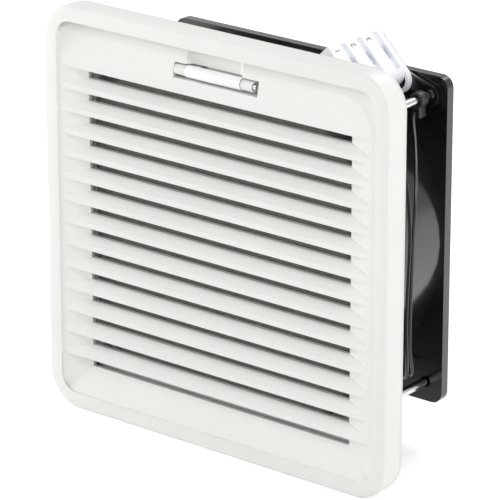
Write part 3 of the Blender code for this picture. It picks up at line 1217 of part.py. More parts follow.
def make_terminal_inner_pieces():
    """A push button in each well and, under it, a bent clamp strip for the wire."""
    top = TERMINAL_TOP - BUTTON_SETBACK
    bottom = top - BUTTON_HEIGHT
    clamp_top = bottom - BUTTON_TRAVEL - FIT_GAP
    clamp_bottom = TERMINAL_TOP - BUTTON_WELL_DEPTH + FIT_GAP
    slot_half = BUTTON_LENGTH / 4
    slot_depth = 0.5 * MM
    slot_width = 0.6 * MM
    strip = 0.6 * MM
    half = BUTTON_LENGTH / 2 - FIT_GAP
    half_width = BUTTON_WIDTH / 2 - FIT_GAP
    left = BUTTON_CENTRE - half
    right = BUTTON_CENTRE + half
    loop = [(left, clamp_bottom), (right, clamp_bottom), (right, clamp_top),
            (right - strip, clamp_top), (right - strip, clamp_bottom + strip),
            (left + strip, clamp_bottom + strip), (left + strip, clamp_top - strip),
            (right - 2.5 * strip, clamp_top - strip), (right - 2.5 * strip, clamp_top),
            (left, clamp_top)]
    for index in range(TERMINAL_POLES):
        y = channel_y(index)
        button = merged(f"terminal_button_{index + 1}",
                        [block((BUTTON_CENTRE - BUTTON_LENGTH / 2, y - BUTTON_WIDTH / 2, bottom),
                               (BUTTON_CENTRE + BUTTON_LENGTH / 2, y + BUTTON_WIDTH / 2, top))],
                        "button_plastic")
        cut(button, f"button_slot_{index + 1}",
            [block((BUTTON_CENTRE - slot_half, y - slot_width / 2, top - slot_depth),
                   (BUTTON_CENTRE + slot_half, y + slot_width / 2, top + CUT_MARGIN))])
        bpy.data.objects[f"button_slot_{index + 1}"].matrix_world = TERMINAL_AXES
        button.matrix_world = TERMINAL_AXES
        clamp = merged(f"terminal_clamp_{index + 1}",
                       [outline([loop], y - half_width, y + half_width)], "copper_wire")
        clamp.matrix_world = TERMINAL_AXES


def make_terminal_bracket():
    """A steel plate that joins the block's foot to the upper right fan screw."""
    eye = (0.0, HOLE_OFFSET * math.sqrt(2))
    half = TERMINAL_FOOT_RADIUS - CUT_MARGIN
    low = TERMINAL_FOOT_CENTRE - half
    high = TERMINAL_FOOT_CENTRE + half
    left = TERMINAL_LEFT + CUT_MARGIN
    radius = BRACKET_EYE_RADIUS
    loop = [(left, low), (TERMINAL_FOOT_RIGHT, low)]
    loop += arc(eye, radius, math.radians(-40), math.radians(130), 10)
    loop += [(TERMINAL_FOOT_RIGHT - TERMINAL_FOOT_RADIUS, high), (left, high)]
    plate = merged("terminal_bracket", [outline([loop], BRACKET_Y, BRACKET_Y + BRACKET_THICKNESS)],
                   "fan_paint")
    past = BRACKET_Y + BRACKET_THICKNESS + CUT_MARGIN
    holes = [rod((u, BRACKET_Y - CUT_MARGIN, v), (u, past, v), BRACKET_SCREW_RADIUS + FIT_GAP, 16)
             for u, v in bracket_screw_places()]
    holes.append(rod((eye[0], BRACKET_Y - CUT_MARGIN, eye[1]), (eye[0], past, eye[1]),
                     SCREW_RADIUS + FIT_GAP, 16))
    cut(plate, "bracket_holes", holes)
    bpy.data.objects["bracket_holes"].matrix_world = TERMINAL_AXES
    plate.matrix_world = TERMINAL_AXES
    head = BRACKET_Y + BRACKET_THICKNESS + FIT_GAP / 3
    top = head + BRACKET_SCREW_HEAD_HEIGHT
    tip = head - BRACKET_SCREW_LENGTH
    for number, (u, v) in enumerate(bracket_screw_places(), 1):
        profile = [(0.0, top), (BRACKET_SCREW_HEAD_RADIUS - FIT_GAP, top),
                   (BRACKET_SCREW_HEAD_RADIUS, head), (BRACKET_SCREW_RADIUS, head),
                   (BRACKET_SCREW_RADIUS, tip), (0.0, tip)]
        screw = turned(f"bracket_screw_{number}", profile, "zinc_steel", 16)
        screw.matrix_world = TERMINAL_AXES @ Matrix.Translation((u, 0, v)) @ TURNED_ABOUT_Y
        smooth(screw)


# Motor leads

# Points chosen by hand, in millimetres, between the block's outlet and the cable slot.
# The first lead goes through the clip on the long screw, the second goes in front of it.
LEAD_ROUTES = (
    ((42.6, 36.6, 50.8), (45.8, 38.6, 48.8), (48.8, 40.6, 48.2), (51.0, 41.1, 48.2),
     (52.3, 40.2, 48.2), (52.4, 37.6, 48.2), (52.4, 35.4, 48.1), (52.7, 34.2, 46.6),
     (53.6, 33.3, 43.6), (54.9, 32.4, 39.4), (57.0, 30.2, 31.6), (59.2, 27.2, 24.6),
     (60.4, 25.3, 17.8), (60.6, 24.2, 9.0), (60.6, 23.9, -1.3), (60.6, 23.3, -17.4),
     (60.2, 23.8, -31.8), (58.8, 27.4, -40.2), (55.8, 31.1, -44.8), (51.7, 35.3, -47.0),
     (48.3, 39.0, -46.2), (45.9, 41.7, -44.3)),
    ((42.6, 27.5, 50.8), (46.6, 25.8, 47.0), (52.0, 22.9, 42.0), (57.0, 20.8, 36.2),
     (60.0, 20.2, 30.4), (60.6, 21.0, 24.8), (60.6, 22.0, 16.8), (60.6, 22.4, 8.0),
     (60.6, 22.0, -2.6), (60.6, 21.3, -14.0), (60.6, 21.2, -24.0), (60.2, 22.2, -33.0),
     (58.4, 25.0, -41.0), (54.6, 29.4, -45.8), (50.2, 33.9, -47.6), (46.9, 38.2, -47.1),
     (44.5, 41.4, -45.7)))


def smooth_route(points, steps=2):
    """Points on a smooth curve through the given points."""
    route = []
    last = len(points) - 1
    for index in range(last):
        before = points[max(index - 1, 0)]
        start = points[index]
        end = points[index + 1]
        after = points[min(index + 2, last)]
        for step in range(steps):
            t = step / steps
            route.append(start + ((end - before) * t + (2 * before - 5 * start + 4 * end - after) * t ** 2
                                  + (3 * (start - end) + after - before) * t ** 3) / 2)
    return route + [points[-1]]


def make_leads():
    """Two leads from the block's outlet holes down the duct's side to the motor."""
    inside = TERMINAL_RIGHT - WIRE_ENTRY_DEPTH / 2
    outside = TERMINAL_RIGHT + WIRE_ENTRY_DEPTH / 4
    in_channel = CABLE_CHANNEL_Y + LEAD_RADIUS + FIT_GAP
    turn_radius = CABLE_CHANNEL_START + LEAD_RADIUS + FIT_GAP
    at_coils = MOTOR_PLATE_Y - CORE_START + 2.0 * MM
    slot_radius = DUCT_OUTER_RADIUS + 2.0 * MM
    straight_radius = DUCT_THROAT_RADIUS - 3.2 * MM
    bend = 2.6 * MM
    channel_route = ((slot_radius, in_channel), (straight_radius, in_channel),
                     (turn_radius + bend, in_channel), (turn_radius + bend / 2, in_channel - bend / 3),
                     (turn_radius, in_channel - bend), (turn_radius, at_coils))
    for number, (pole, side) in enumerate(((2, 1), (1, -1)), 1):
        y = wire_entry_y(pole)
        points = [TERMINAL_AXES @ Vector((along, y, WIRE_ENTRY_HEIGHT)) for along in (inside, outside)]
        points += [Vector(point) * MM for point in LEAD_ROUTES[number - 1]]
        points += [CABLE_AXES @ Vector((radius, depth, side * LEAD_SPACING / 2))
                   for radius, depth in channel_route]
        make_wire(f"motor_lead_{number}", smooth_route(points), LEAD_RADIUS, "lead_insulation", 1)


def make_lead_clip():
    """A plastic clip round the upper right screw, with an eye for one lead below it."""
    screw = (HOLE_OFFSET, HOLE_OFFSET)
    end = LEAD_CLIP_START + LEAD_CLIP_LENGTH
    eye_z = HOLE_OFFSET - LEAD_CLIP_DROP
    half = LEAD_CLIP_WIDTH / 2
    collar = SCREW_RADIUS + FIT_GAP + LEAD_CLIP_WALL
    foot = eye_z - LEAD_RADIUS - FIT_GAP - LEAD_CLIP_WALL
    body = arc(screw, collar, -math.pi / 3, 4 * math.pi / 3, 14)
    body += [(HOLE_OFFSET - half, foot), (HOLE_OFFSET + half, foot)]
    clip = merged("lead_clip", [outline([body], LEAD_CLIP_START, end)], "lead_insulation")
    bores = [rod((HOLE_OFFSET, LEAD_CLIP_START - CUT_MARGIN, z), (HOLE_OFFSET, end + CUT_MARGIN, z),
                 radius + FIT_GAP, 20)
             for z, radius in ((HOLE_OFFSET, SCREW_RADIUS), (eye_z, LEAD_RADIUS))]
    cut(clip, "lead_clip_bores", bores)
    smooth(clip)


def main():
    global PARTS, CUTTERS
    clear_scene()
    PARTS = make_collection("cabinet_filter_fan")
    CUTTERS = make_collection("cutters")
    make_materials()
    make_front_cover()
    make_latch()
    make_mounting_frame()
    make_panel_clips()
    make_gasket()
    make_filter_mat()
    make_fan_housing()
    make_impeller()
    make_rotor()
    make_bearings()
    make_stator()
    make_fasteners()
    make_finger_guard()
    make_terminal_block()
    make_terminal_bracket()
    make_lead_clip()
    make_leads()


main()
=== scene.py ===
"""Looks of the cabinet filter fan: finishes, fine details, light and the photograph's camera."""

import math

import bmesh
import bpy
from mathutils import Matrix, Vector
from mathutils.noise import noise


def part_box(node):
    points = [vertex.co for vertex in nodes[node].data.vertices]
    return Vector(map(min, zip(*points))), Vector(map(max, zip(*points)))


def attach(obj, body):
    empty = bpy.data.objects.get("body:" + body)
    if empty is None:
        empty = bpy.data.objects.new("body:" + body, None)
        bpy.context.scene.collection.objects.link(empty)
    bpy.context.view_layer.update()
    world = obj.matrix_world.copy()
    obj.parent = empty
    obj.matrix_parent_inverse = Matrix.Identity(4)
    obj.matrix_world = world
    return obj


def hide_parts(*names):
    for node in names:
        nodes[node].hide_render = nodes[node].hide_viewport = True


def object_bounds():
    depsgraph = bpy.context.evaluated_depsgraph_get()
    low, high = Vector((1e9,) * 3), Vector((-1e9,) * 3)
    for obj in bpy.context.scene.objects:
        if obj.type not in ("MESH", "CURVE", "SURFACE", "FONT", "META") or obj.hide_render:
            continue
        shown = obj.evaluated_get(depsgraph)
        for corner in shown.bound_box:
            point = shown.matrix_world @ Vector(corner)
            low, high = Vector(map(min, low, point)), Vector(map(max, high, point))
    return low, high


MM = 0.001

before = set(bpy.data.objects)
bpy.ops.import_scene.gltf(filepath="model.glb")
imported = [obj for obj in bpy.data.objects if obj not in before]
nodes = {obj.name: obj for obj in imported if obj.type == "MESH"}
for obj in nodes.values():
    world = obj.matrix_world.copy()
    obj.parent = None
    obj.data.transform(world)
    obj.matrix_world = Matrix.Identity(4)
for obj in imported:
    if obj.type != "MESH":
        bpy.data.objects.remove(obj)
cad_low, cad_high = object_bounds()

# Camera, found by fitting the cover's front to the photograph
CAMERA_AZIMUTH = math.radians(38.6042)
CAMERA_ELEVATION = math.radians(20.2655)
CAMERA_DISTANCE = 1199.9 * MM
CAMERA_RIGHT = 13.3 * MM
CAMERA_UP = -0.2 * MM
CAMERA_LENS = 253.35
CAMERA_SENSOR = 36.0

# World and floor
HORIZON_STRENGTH = 0.66
ZENITH_STRENGTH = 0.6
FLOOR_COLOUR = (0.86, 0.86, 0.86)
FLOOR_GLOW = 0.42
FLOOR_SIZE = 6.0
FLOOR_DROP = 0.05 * MM

# Lamps: azimuth and elevation in degrees, width in metres, power in watts
LIGHT_DISTANCE = 1.5
LIGHT_AIM = Vector((0.0, 0.02, 0.0))
LIGHTS = {
    "key": {"azimuth": 76.0, "elevation": 24.0, "size": 0.12, "power": 7.0},
    "fill": {"azimuth": -76.0, "elevation": 6.0, "size": 0.5, "power": 12.5},
    "top": {"azimuth": 175.0, "elevation": 52.0, "size": 0.7, "power": 6.0},
    "front": {"azimuth": -10.0, "elevation": 36.0, "size": 0.6, "power": 2.8},
}

# Edges of the CAD nodes: how close points are one point, and which angles count as flat, smooth or sharp
WELD_DISTANCE = 0.002 * MM
FLAT_ANGLE = math.radians(0.6)
SMOOTH_ANGLE = math.radians(32.0)
SHARP_ANGLE = math.radians(38.0)

# Textures: most of a noise lies between these values, and a wave has this many bands per unit
NOISE_LOW = 0.3
NOISE_HIGH = 0.7
WAVE_BANDS = 3.2

# Wire guard: an eye's sweep is in degrees, and the neck before it in wire radii
SCREW_OFFSET = 52.4 * MM
GUARD_WIRE_RADIUS = 0.8 * MM
GUARD_RING_COUNT = 4
GUARD_RING_INNER_RADIUS = 16.0 * MM
GUARD_RING_OUTER_RADIUS = 53.5 * MM
GUARD_RING_POINTS = 96
GUARD_EYE_RADIUS = 2.6 * MM
GUARD_EYE_STEPS = 24
GUARD_EYE_SWEEP = 344.0
GUARD_EYE_NECK = 2.2

# Filter mat: its outline, then its relief in millimetres and the noise scales per metre
MAT_CORNER_CUT = 16.4 * MM
MAT_CUT_TOLERANCE = 0.1 * MM
MAT_CELLS = 72
MAT_EDGE_WIDTH = 4.0 * MM
MAT_INSET = 0.35
MAT_RELIEF = 0.3
MAT_EDGE_DROP = 0.9
MAT_COARSE_NOISE = 350.0
MAT_FINE_NOISE = 900.0
MAT_FINE_SHARE = 0.6

# Terminal block: its axes are turned to the fan's upper right corner
TERMINAL_AXES = Matrix.Rotation(math.radians(45.0), 4, "Y")
TERMINAL_TOP = 74.0 * MM
POLE_PITCH = 8.8 * MM
POLE_CENTRE = 3.05 * MM
DIGIT_ACROSS = -26.3 * MM
DIGIT_SIZE = 3.2 * MM
DIGIT_EXTRUDE = 0.02 * MM
DIGIT_LIFT = 0.01 * MM


# Node helpers

def add_node(tree, kind, **values):
    """A new node, with inputs or settings given by name."""
    node = tree.nodes.new(kind)
    for name, value in values.items():
        if name in node.inputs:
            node.inputs[name].default_value = value
        else:
            setattr(node, name, value)
    return node


def millimetres(tree):
    """Object coordinates in millimetres, so that texture scales read per millimetre."""
    coordinates = add_node(tree, "ShaderNodeTexCoord")
    mapping = add_node(tree, "ShaderNodeMapping", Scale=(1000.0, 1000.0, 1000.0))
    tree.links.new(coordinates.outputs["Object"], mapping.inputs["Vector"])
    return mapping


def stretched(tree, source, scale):
    """Coordinates scaled unevenly, which draws a texture out along its smallest scale."""
    mapping = add_node(tree, "ShaderNodeMapping", Scale=scale)
    tree.links.new(source.outputs["Vector"], mapping.inputs["Vector"])
    return mapping


def noise_texture(tree, source, scale, detail=2.0, roughness=0.5):
    texture = add_node(tree, "ShaderNodeTexNoise", Scale=scale, Detail=detail, Roughness=roughness)
    tree.links.new(source.outputs["Vector"], texture.inputs["Vector"])
    return texture


def mixed_colour(tree, factor, dark, light, low=0.35, high=0.65):
    """Runs from dark to light as the factor goes from low to high."""
    ramp = add_node(tree, "ShaderNodeValToRGB")
    ramp.color_ramp.elements[0].position = low
    ramp.color_ramp.elements[1].position = high
    ramp.color_ramp.elements[0].color = (*dark, 1.0)
    ramp.color_ramp.elements[1].color = (*light, 1.0)
    tree.links.new(factor, ramp.inputs["Fac"])
    return ramp.outputs["Color"]


def spread(tree, factor, low, high):
    """Spreads a noise's usual values between low and high."""
    mapped = add_node(tree, "ShaderNodeMapRange")
    mapped.inputs["From Min"].default_value = NOISE_LOW
    mapped.inputs["From Max"].default_value = NOISE_HIGH
    mapped.inputs["To Min"].default_value = low
    mapped.inputs["To Max"].default_value = high
    tree.links.new(factor, mapped.inputs["Value"])
    return mapped.outputs["Result"]


def bumped(tree, height, distance, strength=1.0, below=None):
    """Relief of the given depth, laid over the relief below it."""
    bump = add_node(tree, "ShaderNodeBump", Strength=strength, Distance=distance)
    tree.links.new(height, bump.inputs["Height"])
    if below:
        tree.links.new(below.outputs["Normal"], bump.inputs["Normal"])
    return bump


def new_material(name):
    material = bpy.data.materials.new(name)
    material.use_nodes = True
    return material, material.node_tree, material.node_tree.nodes["Principled BSDF"]


def shade(colour, amount):
    return tuple(max(0.0, min(1.0, channel * amount)) for channel in colour)


# Materials

def moulded_plastic(name, colour, roughness, grain=5.0, grain_depth=0.012, mottling=0.02):
    """Injection moulded plastic: a fine eroded grain over a faint, broad unevenness."""
    material, tree, shader = new_material(name)
    source = millimetres(tree)
    fine = noise_texture(tree, source, scale=grain, detail=3.0, roughness=0.6)
    broad = noise_texture(tree, source, scale=0.045)
    flow = noise_texture(tree, stretched(tree, source, (0.02, 0.3, 0.1)), scale=1.0, detail=3.0)
    tint = mixed_colour(tree, broad.outputs["Fac"], shade(colour, 1.0 - mottling), colour)
    tree.links.new(tint, shader.inputs["Base Color"])
    rough = spread(tree, flow.outputs["Fac"], low=roughness - 0.04, high=roughness + 0.05)
    tree.links.new(rough, shader.inputs["Roughness"])
    waves = bumped(tree, broad.outputs["Fac"], distance=0.05 * MM, strength=0.5)
    grainy = bumped(tree, fine.outputs["Fac"], distance=grain_depth * MM, below=waves)
    tree.links.new(grainy.outputs["Normal"], shader.inputs["Normal"])
    return material


def coated_casting(name, colour, roughness):
    """Glossy black coat on a die casting, with orange peel and a little dust."""
    material, tree, shader = new_material(name)
    source = millimetres(tree)
    peel = noise_texture(tree, source, scale=1.1)
    cast = noise_texture(tree, source, scale=0.12, detail=4.0)
    dust = noise_texture(tree, source, scale=6.0, detail=5.0, roughness=0.7)
    tint = mixed_colour(tree, dust.outputs["Fac"], colour, shade(colour, 2.2), low=0.5, high=0.8)
    tree.links.new(tint, shader.inputs["Base Color"])
    rough = spread(tree, dust.outputs["Fac"], low=roughness - 0.03, high=roughness + 0.12)
    tree.links.new(rough, shader.inputs["Roughness"])
    uneven = bumped(tree, cast.outputs["Fac"], distance=0.12 * MM, strength=0.7)
    skin = bumped(tree, peel.outputs["Fac"], distance=0.02 * MM, strength=0.8, below=uneven)
    tree.links.new(skin.outputs["Normal"], shader.inputs["Normal"])
    shader.inputs["Specular IOR Level"].default_value = 0.55
    shader.inputs["Specular Tint"].default_value = (1.0, 0.95, 0.88, 1.0)
    shader.inputs["Coat Weight"].default_value = 0.6
    shader.inputs["Coat Roughness"].default_value = 0.14
    shader.inputs["Coat IOR"].default_value = 1.5
    return material


def plated_steel(name, colour, roughness, grain_scale=(0.2, 8.0, 8.0), depth=0.006):
    """Bright metal with fine drawing lines; grain_scale is small along the lines."""
    material, tree, shader = new_material(name)
    source = millimetres(tree)
    lines = noise_texture(tree, stretched(tree, source, grain_scale), scale=1.0, detail=4.0, roughness=0.6)
    cloud = noise_texture(tree, source, scale=0.35, detail=3.0)
    tint = mixed_colour(tree, cloud.outputs["Fac"], shade(colour, 0.86), colour)
    tree.links.new(tint, shader.inputs["Base Color"])
    rough = spread(tree, lines.outputs["Fac"], low=roughness - 0.07, high=roughness + 0.1)
    tree.links.new(rough, shader.inputs["Roughness"])
    drawn = bumped(tree, lines.outputs["Fac"], distance=depth * MM)
    tree.links.new(drawn.outputs["Normal"], shader.inputs["Normal"])
    shader.inputs["Metallic"].default_value = 1.0
    return material


def layered(name, colour, gap_colour, pitch, roughness, metallic, depth):
    """Sheets or turns laid side by side along Y: fine grooves every pitch millimetres."""
    material, tree, shader = new_material(name)
    source = millimetres(tree)
    wave = add_node(tree, "ShaderNodeTexWave", Scale=1.0 / pitch / WAVE_BANDS, Distortion=0.25)
    wave.bands_direction = "Y"
    wave.wave_profile = "SIN"
    tree.links.new(source.outputs["Vector"], wave.inputs["Vector"])
    cloud = noise_texture(tree, source, scale=0.6, detail=3.0)
    tint = mixed_colour(tree, wave.outputs["Fac"], gap_colour, colour, low=0.05, high=0.4)
    tree.links.new(tint, shader.inputs["Base Color"])
    rough = spread(tree, cloud.outputs["Fac"], low=roughness - 0.05, high=roughness + 0.1)
    tree.links.new(rough, shader.inputs["Roughness"])
    ridges = bumped(tree, wave.outputs["Fac"], distance=depth * MM)
    tree.links.new(ridges.outputs["Normal"], shader.inputs["Normal"])
    shader.inputs["Metallic"].default_value = metallic
    return material


def fibre_mat(name, colour):
    """Bonded filter fibres, with strands crossing at all angles."""
    material, tree, shader = new_material(name)
    source = millimetres(tree)
    strands = [noise_texture(tree, stretched(tree, source, scale), scale=1.0, detail=5.0, roughness=0.7)
               for scale in ((0.5, 2.0, 6.0), (6.0, 2.0, 0.5))]
    joined = add_node(tree, "ShaderNodeMath", operation="MAXIMUM")
    for socket, strand in zip(joined.inputs, strands):
        tree.links.new(strand.outputs["Fac"], socket)
    tint = mixed_colour(tree, joined.outputs["Value"], shade(colour, 0.45), colour, low=0.4, high=0.75)
    tree.links.new(tint, shader.inputs["Base Color"])
    fuzz = bumped(tree, joined.outputs["Value"], distance=0.5 * MM)
    tree.links.new(fuzz.outputs["Normal"], shader.inputs["Normal"])
    shader.inputs["Roughness"].default_value = 0.95
    shader.inputs["Sheen Weight"].default_value = 0.25
    return material


def foam(name, colour):
    """Closed-cell foam with a skin of small pores."""
    material, tree, shader = new_material(name)
    source = millimetres(tree)
    pores = add_node(tree, "ShaderNodeTexVoronoi", Scale=2.6)
    tree.links.new(source.outputs["Vector"], pores.inputs["Vector"])
    tint = mixed_colour(tree, pores.outputs["Distance"], shade(colour, 0.5), shade(colour, 1.4),
                        low=0.1, high=0.6)
    tree.links.new(tint, shader.inputs["Base Color"])
    dents = bumped(tree, pores.outputs["Distance"], distance=0.12 * MM)
    tree.links.new(dents.outputs["Normal"], shader.inputs["Normal"])
    shader.inputs["Roughness"].default_value = 0.85
    return material


MATERIALS = {
    "cover": moulded_plastic("cover_plastic_look", (0.81, 0.805, 0.785), roughness=0.42),
    "frame": moulded_plastic("frame_plastic_look", (0.74, 0.74, 0.72), roughness=0.46),
    "latch": moulded_plastic("latch_plastic_look", (0.95, 0.95, 0.94), roughness=0.28,
                             grain=3.0, grain_depth=0.004),
    "casting": coated_casting("fan_casting_look", (0.0055, 0.0053, 0.0048), roughness=0.2),
    "impeller": moulded_plastic("impeller_plastic_look", (0.018, 0.018, 0.018), roughness=0.42,
                                grain=4.0, grain_depth=0.01, mottling=0.3),
    "clip": moulded_plastic("clip_plastic_look", (0.03, 0.03, 0.03), roughness=0.4,
                            grain=4.0, grain_depth=0.008),
    "zinc": plated_steel("zinc_steel_look", (0.74, 0.75, 0.77), roughness=0.2),
    "rod": plated_steel("screw_steel_look", (0.78, 0.79, 0.81), roughness=0.16,
                        grain_scale=(8.0, 0.2, 8.0)),
    "spring": plated_steel("spring_steel_look", (0.62, 0.63, 0.66), roughness=0.24,
                           grain_scale=(6.0, 0.3, 6.0)),
    "sheets": layered("stator_sheets_look", (0.36, 0.36, 0.37), (0.08, 0.08, 0.09), pitch=0.5,
                      roughness=0.42, metallic=1.0, depth=0.06),
    "rotor": plated_steel("rotor_steel_look", (0.4, 0.4, 0.41), roughness=0.36,
                          grain_scale=(6.0, 0.4, 6.0), depth=0.01),
    "copper": layered("copper_turns_look", (0.62, 0.26, 0.1), (0.16, 0.05, 0.02), pitch=0.42,
                      roughness=0.3, metallic=0.85, depth=0.12),
    "bronze": plated_steel("clamp_bronze_look", (0.66, 0.45, 0.22), roughness=0.3,
                           grain_scale=(6.0, 0.5, 6.0)),
    "terminal": moulded_plastic("terminal_plastic_look", (0.89, 0.90, 0.95), roughness=0.34,
                                grain=4.0, grain_depth=0.005, mottling=0.015),
    # The buttons' blue-grey is partly painted shade: they are real parts, darkened to the tone of the
    # shaded wells they sit in.
    "button": moulded_plastic("button_plastic_painted_shade_look", (0.50, 0.54, 0.62), roughness=0.38,
                              grain=4.0, grain_depth=0.006),
    "insulation": moulded_plastic("lead_insulation_look", (0.016, 0.016, 0.016), roughness=0.34,
                                  grain=3.0, grain_depth=0.01, mottling=0.3),
    # The filter mat's dim brownish grey is painted shade: the real mat is paler, and this colour stands in
    # for the shade behind the grille.
    "fibre": fibre_mat("filter_fibre_painted_shade_look", (0.30, 0.285, 0.26)),
    "foam": foam("gasket_foam_look", (0.045, 0.045, 0.045)),
    "ink": moulded_plastic("print_ink_look", (0.10, 0.10, 0.11), roughness=0.5,
                           grain=3.0, grain_depth=0.002),
}


# Finishing the CAD nodes

def smooth_shading():
    """A node group that welds a mesh and shades it smooth up to an angle."""
    group = bpy.data.node_groups.new("smooth_by_angle", "GeometryNodeTree")
    group.interface.new_socket("Geometry", in_out="INPUT", socket_type="NodeSocketGeometry")
    group.interface.new_socket("Geometry", in_out="OUTPUT", socket_type="NodeSocketGeometry")
    start = group.nodes.new("NodeGroupInput")
    end = group.nodes.new("NodeGroupOutput")
    weld = group.nodes.new("GeometryNodeMergeByDistance")
    weld.inputs["Distance"].default_value = WELD_DISTANCE
    faces = group.nodes.new("GeometryNodeSetShadeSmooth")
    edges = group.nodes.new("GeometryNodeSetShadeSmooth")
    edges.domain = "EDGE"
    angle = group.nodes.new("GeometryNodeInputMeshEdgeAngle")
    flat = group.nodes.new("FunctionNodeCompare")
    flat.operation = "LESS_THAN"
    flat.inputs["B"].default_value = SMOOTH_ANGLE
    link = group.links.new
    link(start.outputs[0], weld.inputs["Geometry"])
    link(weld.outputs["Geometry"], faces.inputs["Geometry"])
    link(faces.outputs["Geometry"], edges.inputs["Geometry"])
    link(angle.outputs["Unsigned Angle"], flat.inputs["A"])
    link(flat.outputs["Result"], edges.inputs["Shade Smooth"])
    link(edges.outputs["Geometry"], end.inputs[0])
    return group


SMOOTH = smooth_shading()


def dress(name, material, bevel=0.0, segments=2):
    """Gives a CAD node its finish, softened edges and smooth shading."""
    thing = nodes[name]
    thing.data.materials.clear()
    thing.data.materials.append(MATERIALS[material])
    if "custom_normal" in thing.data.attributes:
        thing.data.attributes.remove(thing.data.attributes["custom_normal"])
    weld = thing.modifiers.new("weld", "WELD")
    weld.merge_threshold = WELD_DISTANCE
    if bevel:
        flat = thing.modifiers.new("flat_faces", "DECIMATE")
        flat.decimate_type = "DISSOLVE"
        flat.angle_limit = FLAT_ANGLE
        round_over = thing.modifiers.new("round_over", "BEVEL")
        round_over.width = bevel
        round_over.segments = segments
        round_over.limit_method = "ANGLE"
        round_over.angle_limit = SHARP_ANGLE
        round_over.miter_outer = "MITER_ARC"
        round_over.use_clamp_overlap = True
    shading = thing.modifiers.new("smooth_shading", "NODES")
    shading.node_group = SMOOTH


dress("front_cover", "cover")
dress("mounting_frame", "frame")
dress("latch_lever", "latch", bevel=0.12 * MM)
dress("latch_pin", "zinc", bevel=0.15 * MM)
dress("latch_spring", "spring")
dress("panel_gasket", "foam")
dress("fan_housing", "casting")
dress("impeller", "impeller")
dress("rotor_cup", "rotor")
dress("rotor_shaft", "zinc")
dress("shaft_clip", "spring")
dress("bearing_front", "zinc", bevel=0.2 * MM)
dress("bearing_rear", "zinc", bevel=0.2 * MM)
dress("bearing_cap", "casting", bevel=0.15 * MM)
dress("stator_core", "sheets")
dress("terminal_block", "terminal", bevel=0.25 * MM)
dress("terminal_bracket", "casting", bevel=0.15 * MM)
dress("lead_clip", "clip", bevel=0.15 * MM)
for number in range(1, 5):
    dress(f"panel_clip_{number}", "spring")
    dress(f"stator_coil_{number}", "copper", bevel=0.8 * MM, segments=3)
    dress(f"fan_nut_{number}", "zinc", bevel=0.15 * MM)
    dress(f"fan_screw_{number}", "rod")
for number in range(1, 4):
    dress(f"terminal_button_{number}", "button", bevel=0.3 * MM, segments=3)
    dress(f"terminal_clamp_{number}", "bronze", bevel=0.08 * MM)
for number in range(1, 3):
    dress(f"bracket_screw_{number}", "zinc", bevel=0.1 * MM)
    dress(f"motor_lead_{number}", "insulation")


# Pieces

def add_piece(name, data, material, body, place=Matrix.Identity(4)):
    """A new piece that rides on a body, with a material from the table above."""
    piece = bpy.data.objects.new(name, data)
    bpy.context.scene.collection.objects.link(piece)
    piece.matrix_world = place
    data.materials.append(MATERIALS[material])
    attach(piece, body)
    return piece


def add_spline(curve, points, closed):
    spline = curve.splines.new("POLY")
    spline.points.add(len(points) - 1)
    for target, point in zip(spline.points, points):
        target.co = (*point, 1.0)
    spline.use_cyclic_u = closed


def ring_points(radius, y):
    """Points round a circle about the fan's axis."""
    angles = [2 * math.pi * i / GUARD_RING_POINTS for i in range(GUARD_RING_POINTS)]
    return [(radius * math.cos(angle), y, radius * math.sin(angle)) for angle in angles]


def leg_points(y):
    """A leg from the inner ring outwards, ending in an eye round its screw."""
    reach = math.sqrt(2) * SCREW_OFFSET
    neck = reach - GUARD_EYE_RADIUS - GUARD_EYE_NECK * GUARD_WIRE_RADIUS
    points = [(GUARD_RING_INNER_RADIUS, y, 0.0), (neck, y, 0.0)]
    for step in range(GUARD_EYE_STEPS + 1):
        angle = math.radians(GUARD_EYE_SWEEP / 2 - GUARD_EYE_SWEEP * step / GUARD_EYE_STEPS)
        points.append((reach + GUARD_EYE_RADIUS * math.cos(angle), y, GUARD_EYE_RADIUS * math.sin(angle)))
    return points


def guard_curve():
    """The wire guard: rings welded to four legs that end in eyes round the screws."""
    low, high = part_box("finger_guard")
    curve = bpy.data.curves.new("guard_wire", "CURVE")
    curve.dimensions = "3D"
    curve.bevel_depth = GUARD_WIRE_RADIUS
    curve.bevel_resolution = 4
    curve.use_fill_caps = True
    ring_room = GUARD_RING_OUTER_RADIUS - GUARD_RING_INNER_RADIUS
    for ring in range(GUARD_RING_COUNT):
        radius = GUARD_RING_INNER_RADIUS + ring_room * ring / (GUARD_RING_COUNT - 1)
        add_spline(curve, ring_points(radius, high[1] - GUARD_WIRE_RADIUS), closed=True)
    for quarter in range(4):
        turn = Matrix.Rotation(math.radians(45 + 90 * quarter), 4, "Y")
        leg = leg_points(low[1] + GUARD_WIRE_RADIUS)
        add_spline(curve, [turn @ Vector(point) for point in leg], closed=False)
    return curve


guard = add_piece("guard_wire", guard_curve(), "zinc", "fan_unit")
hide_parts("finger_guard")


def mat_inward(x, y, z, edge):
    """How far the mat's face lies inside its box: uneven, and deeper along its edges."""
    swell = min(1.0, edge / MAT_EDGE_WIDTH)
    rough = noise(Vector((x, z, y)) * MAT_COARSE_NOISE)
    rough += MAT_FINE_SHARE * noise(Vector((x, y, z)) * MAT_FINE_NOISE)
    return (MAT_INSET + MAT_RELIEF * rough + MAT_EDGE_DROP * (1.0 - swell) ** 2) * MM


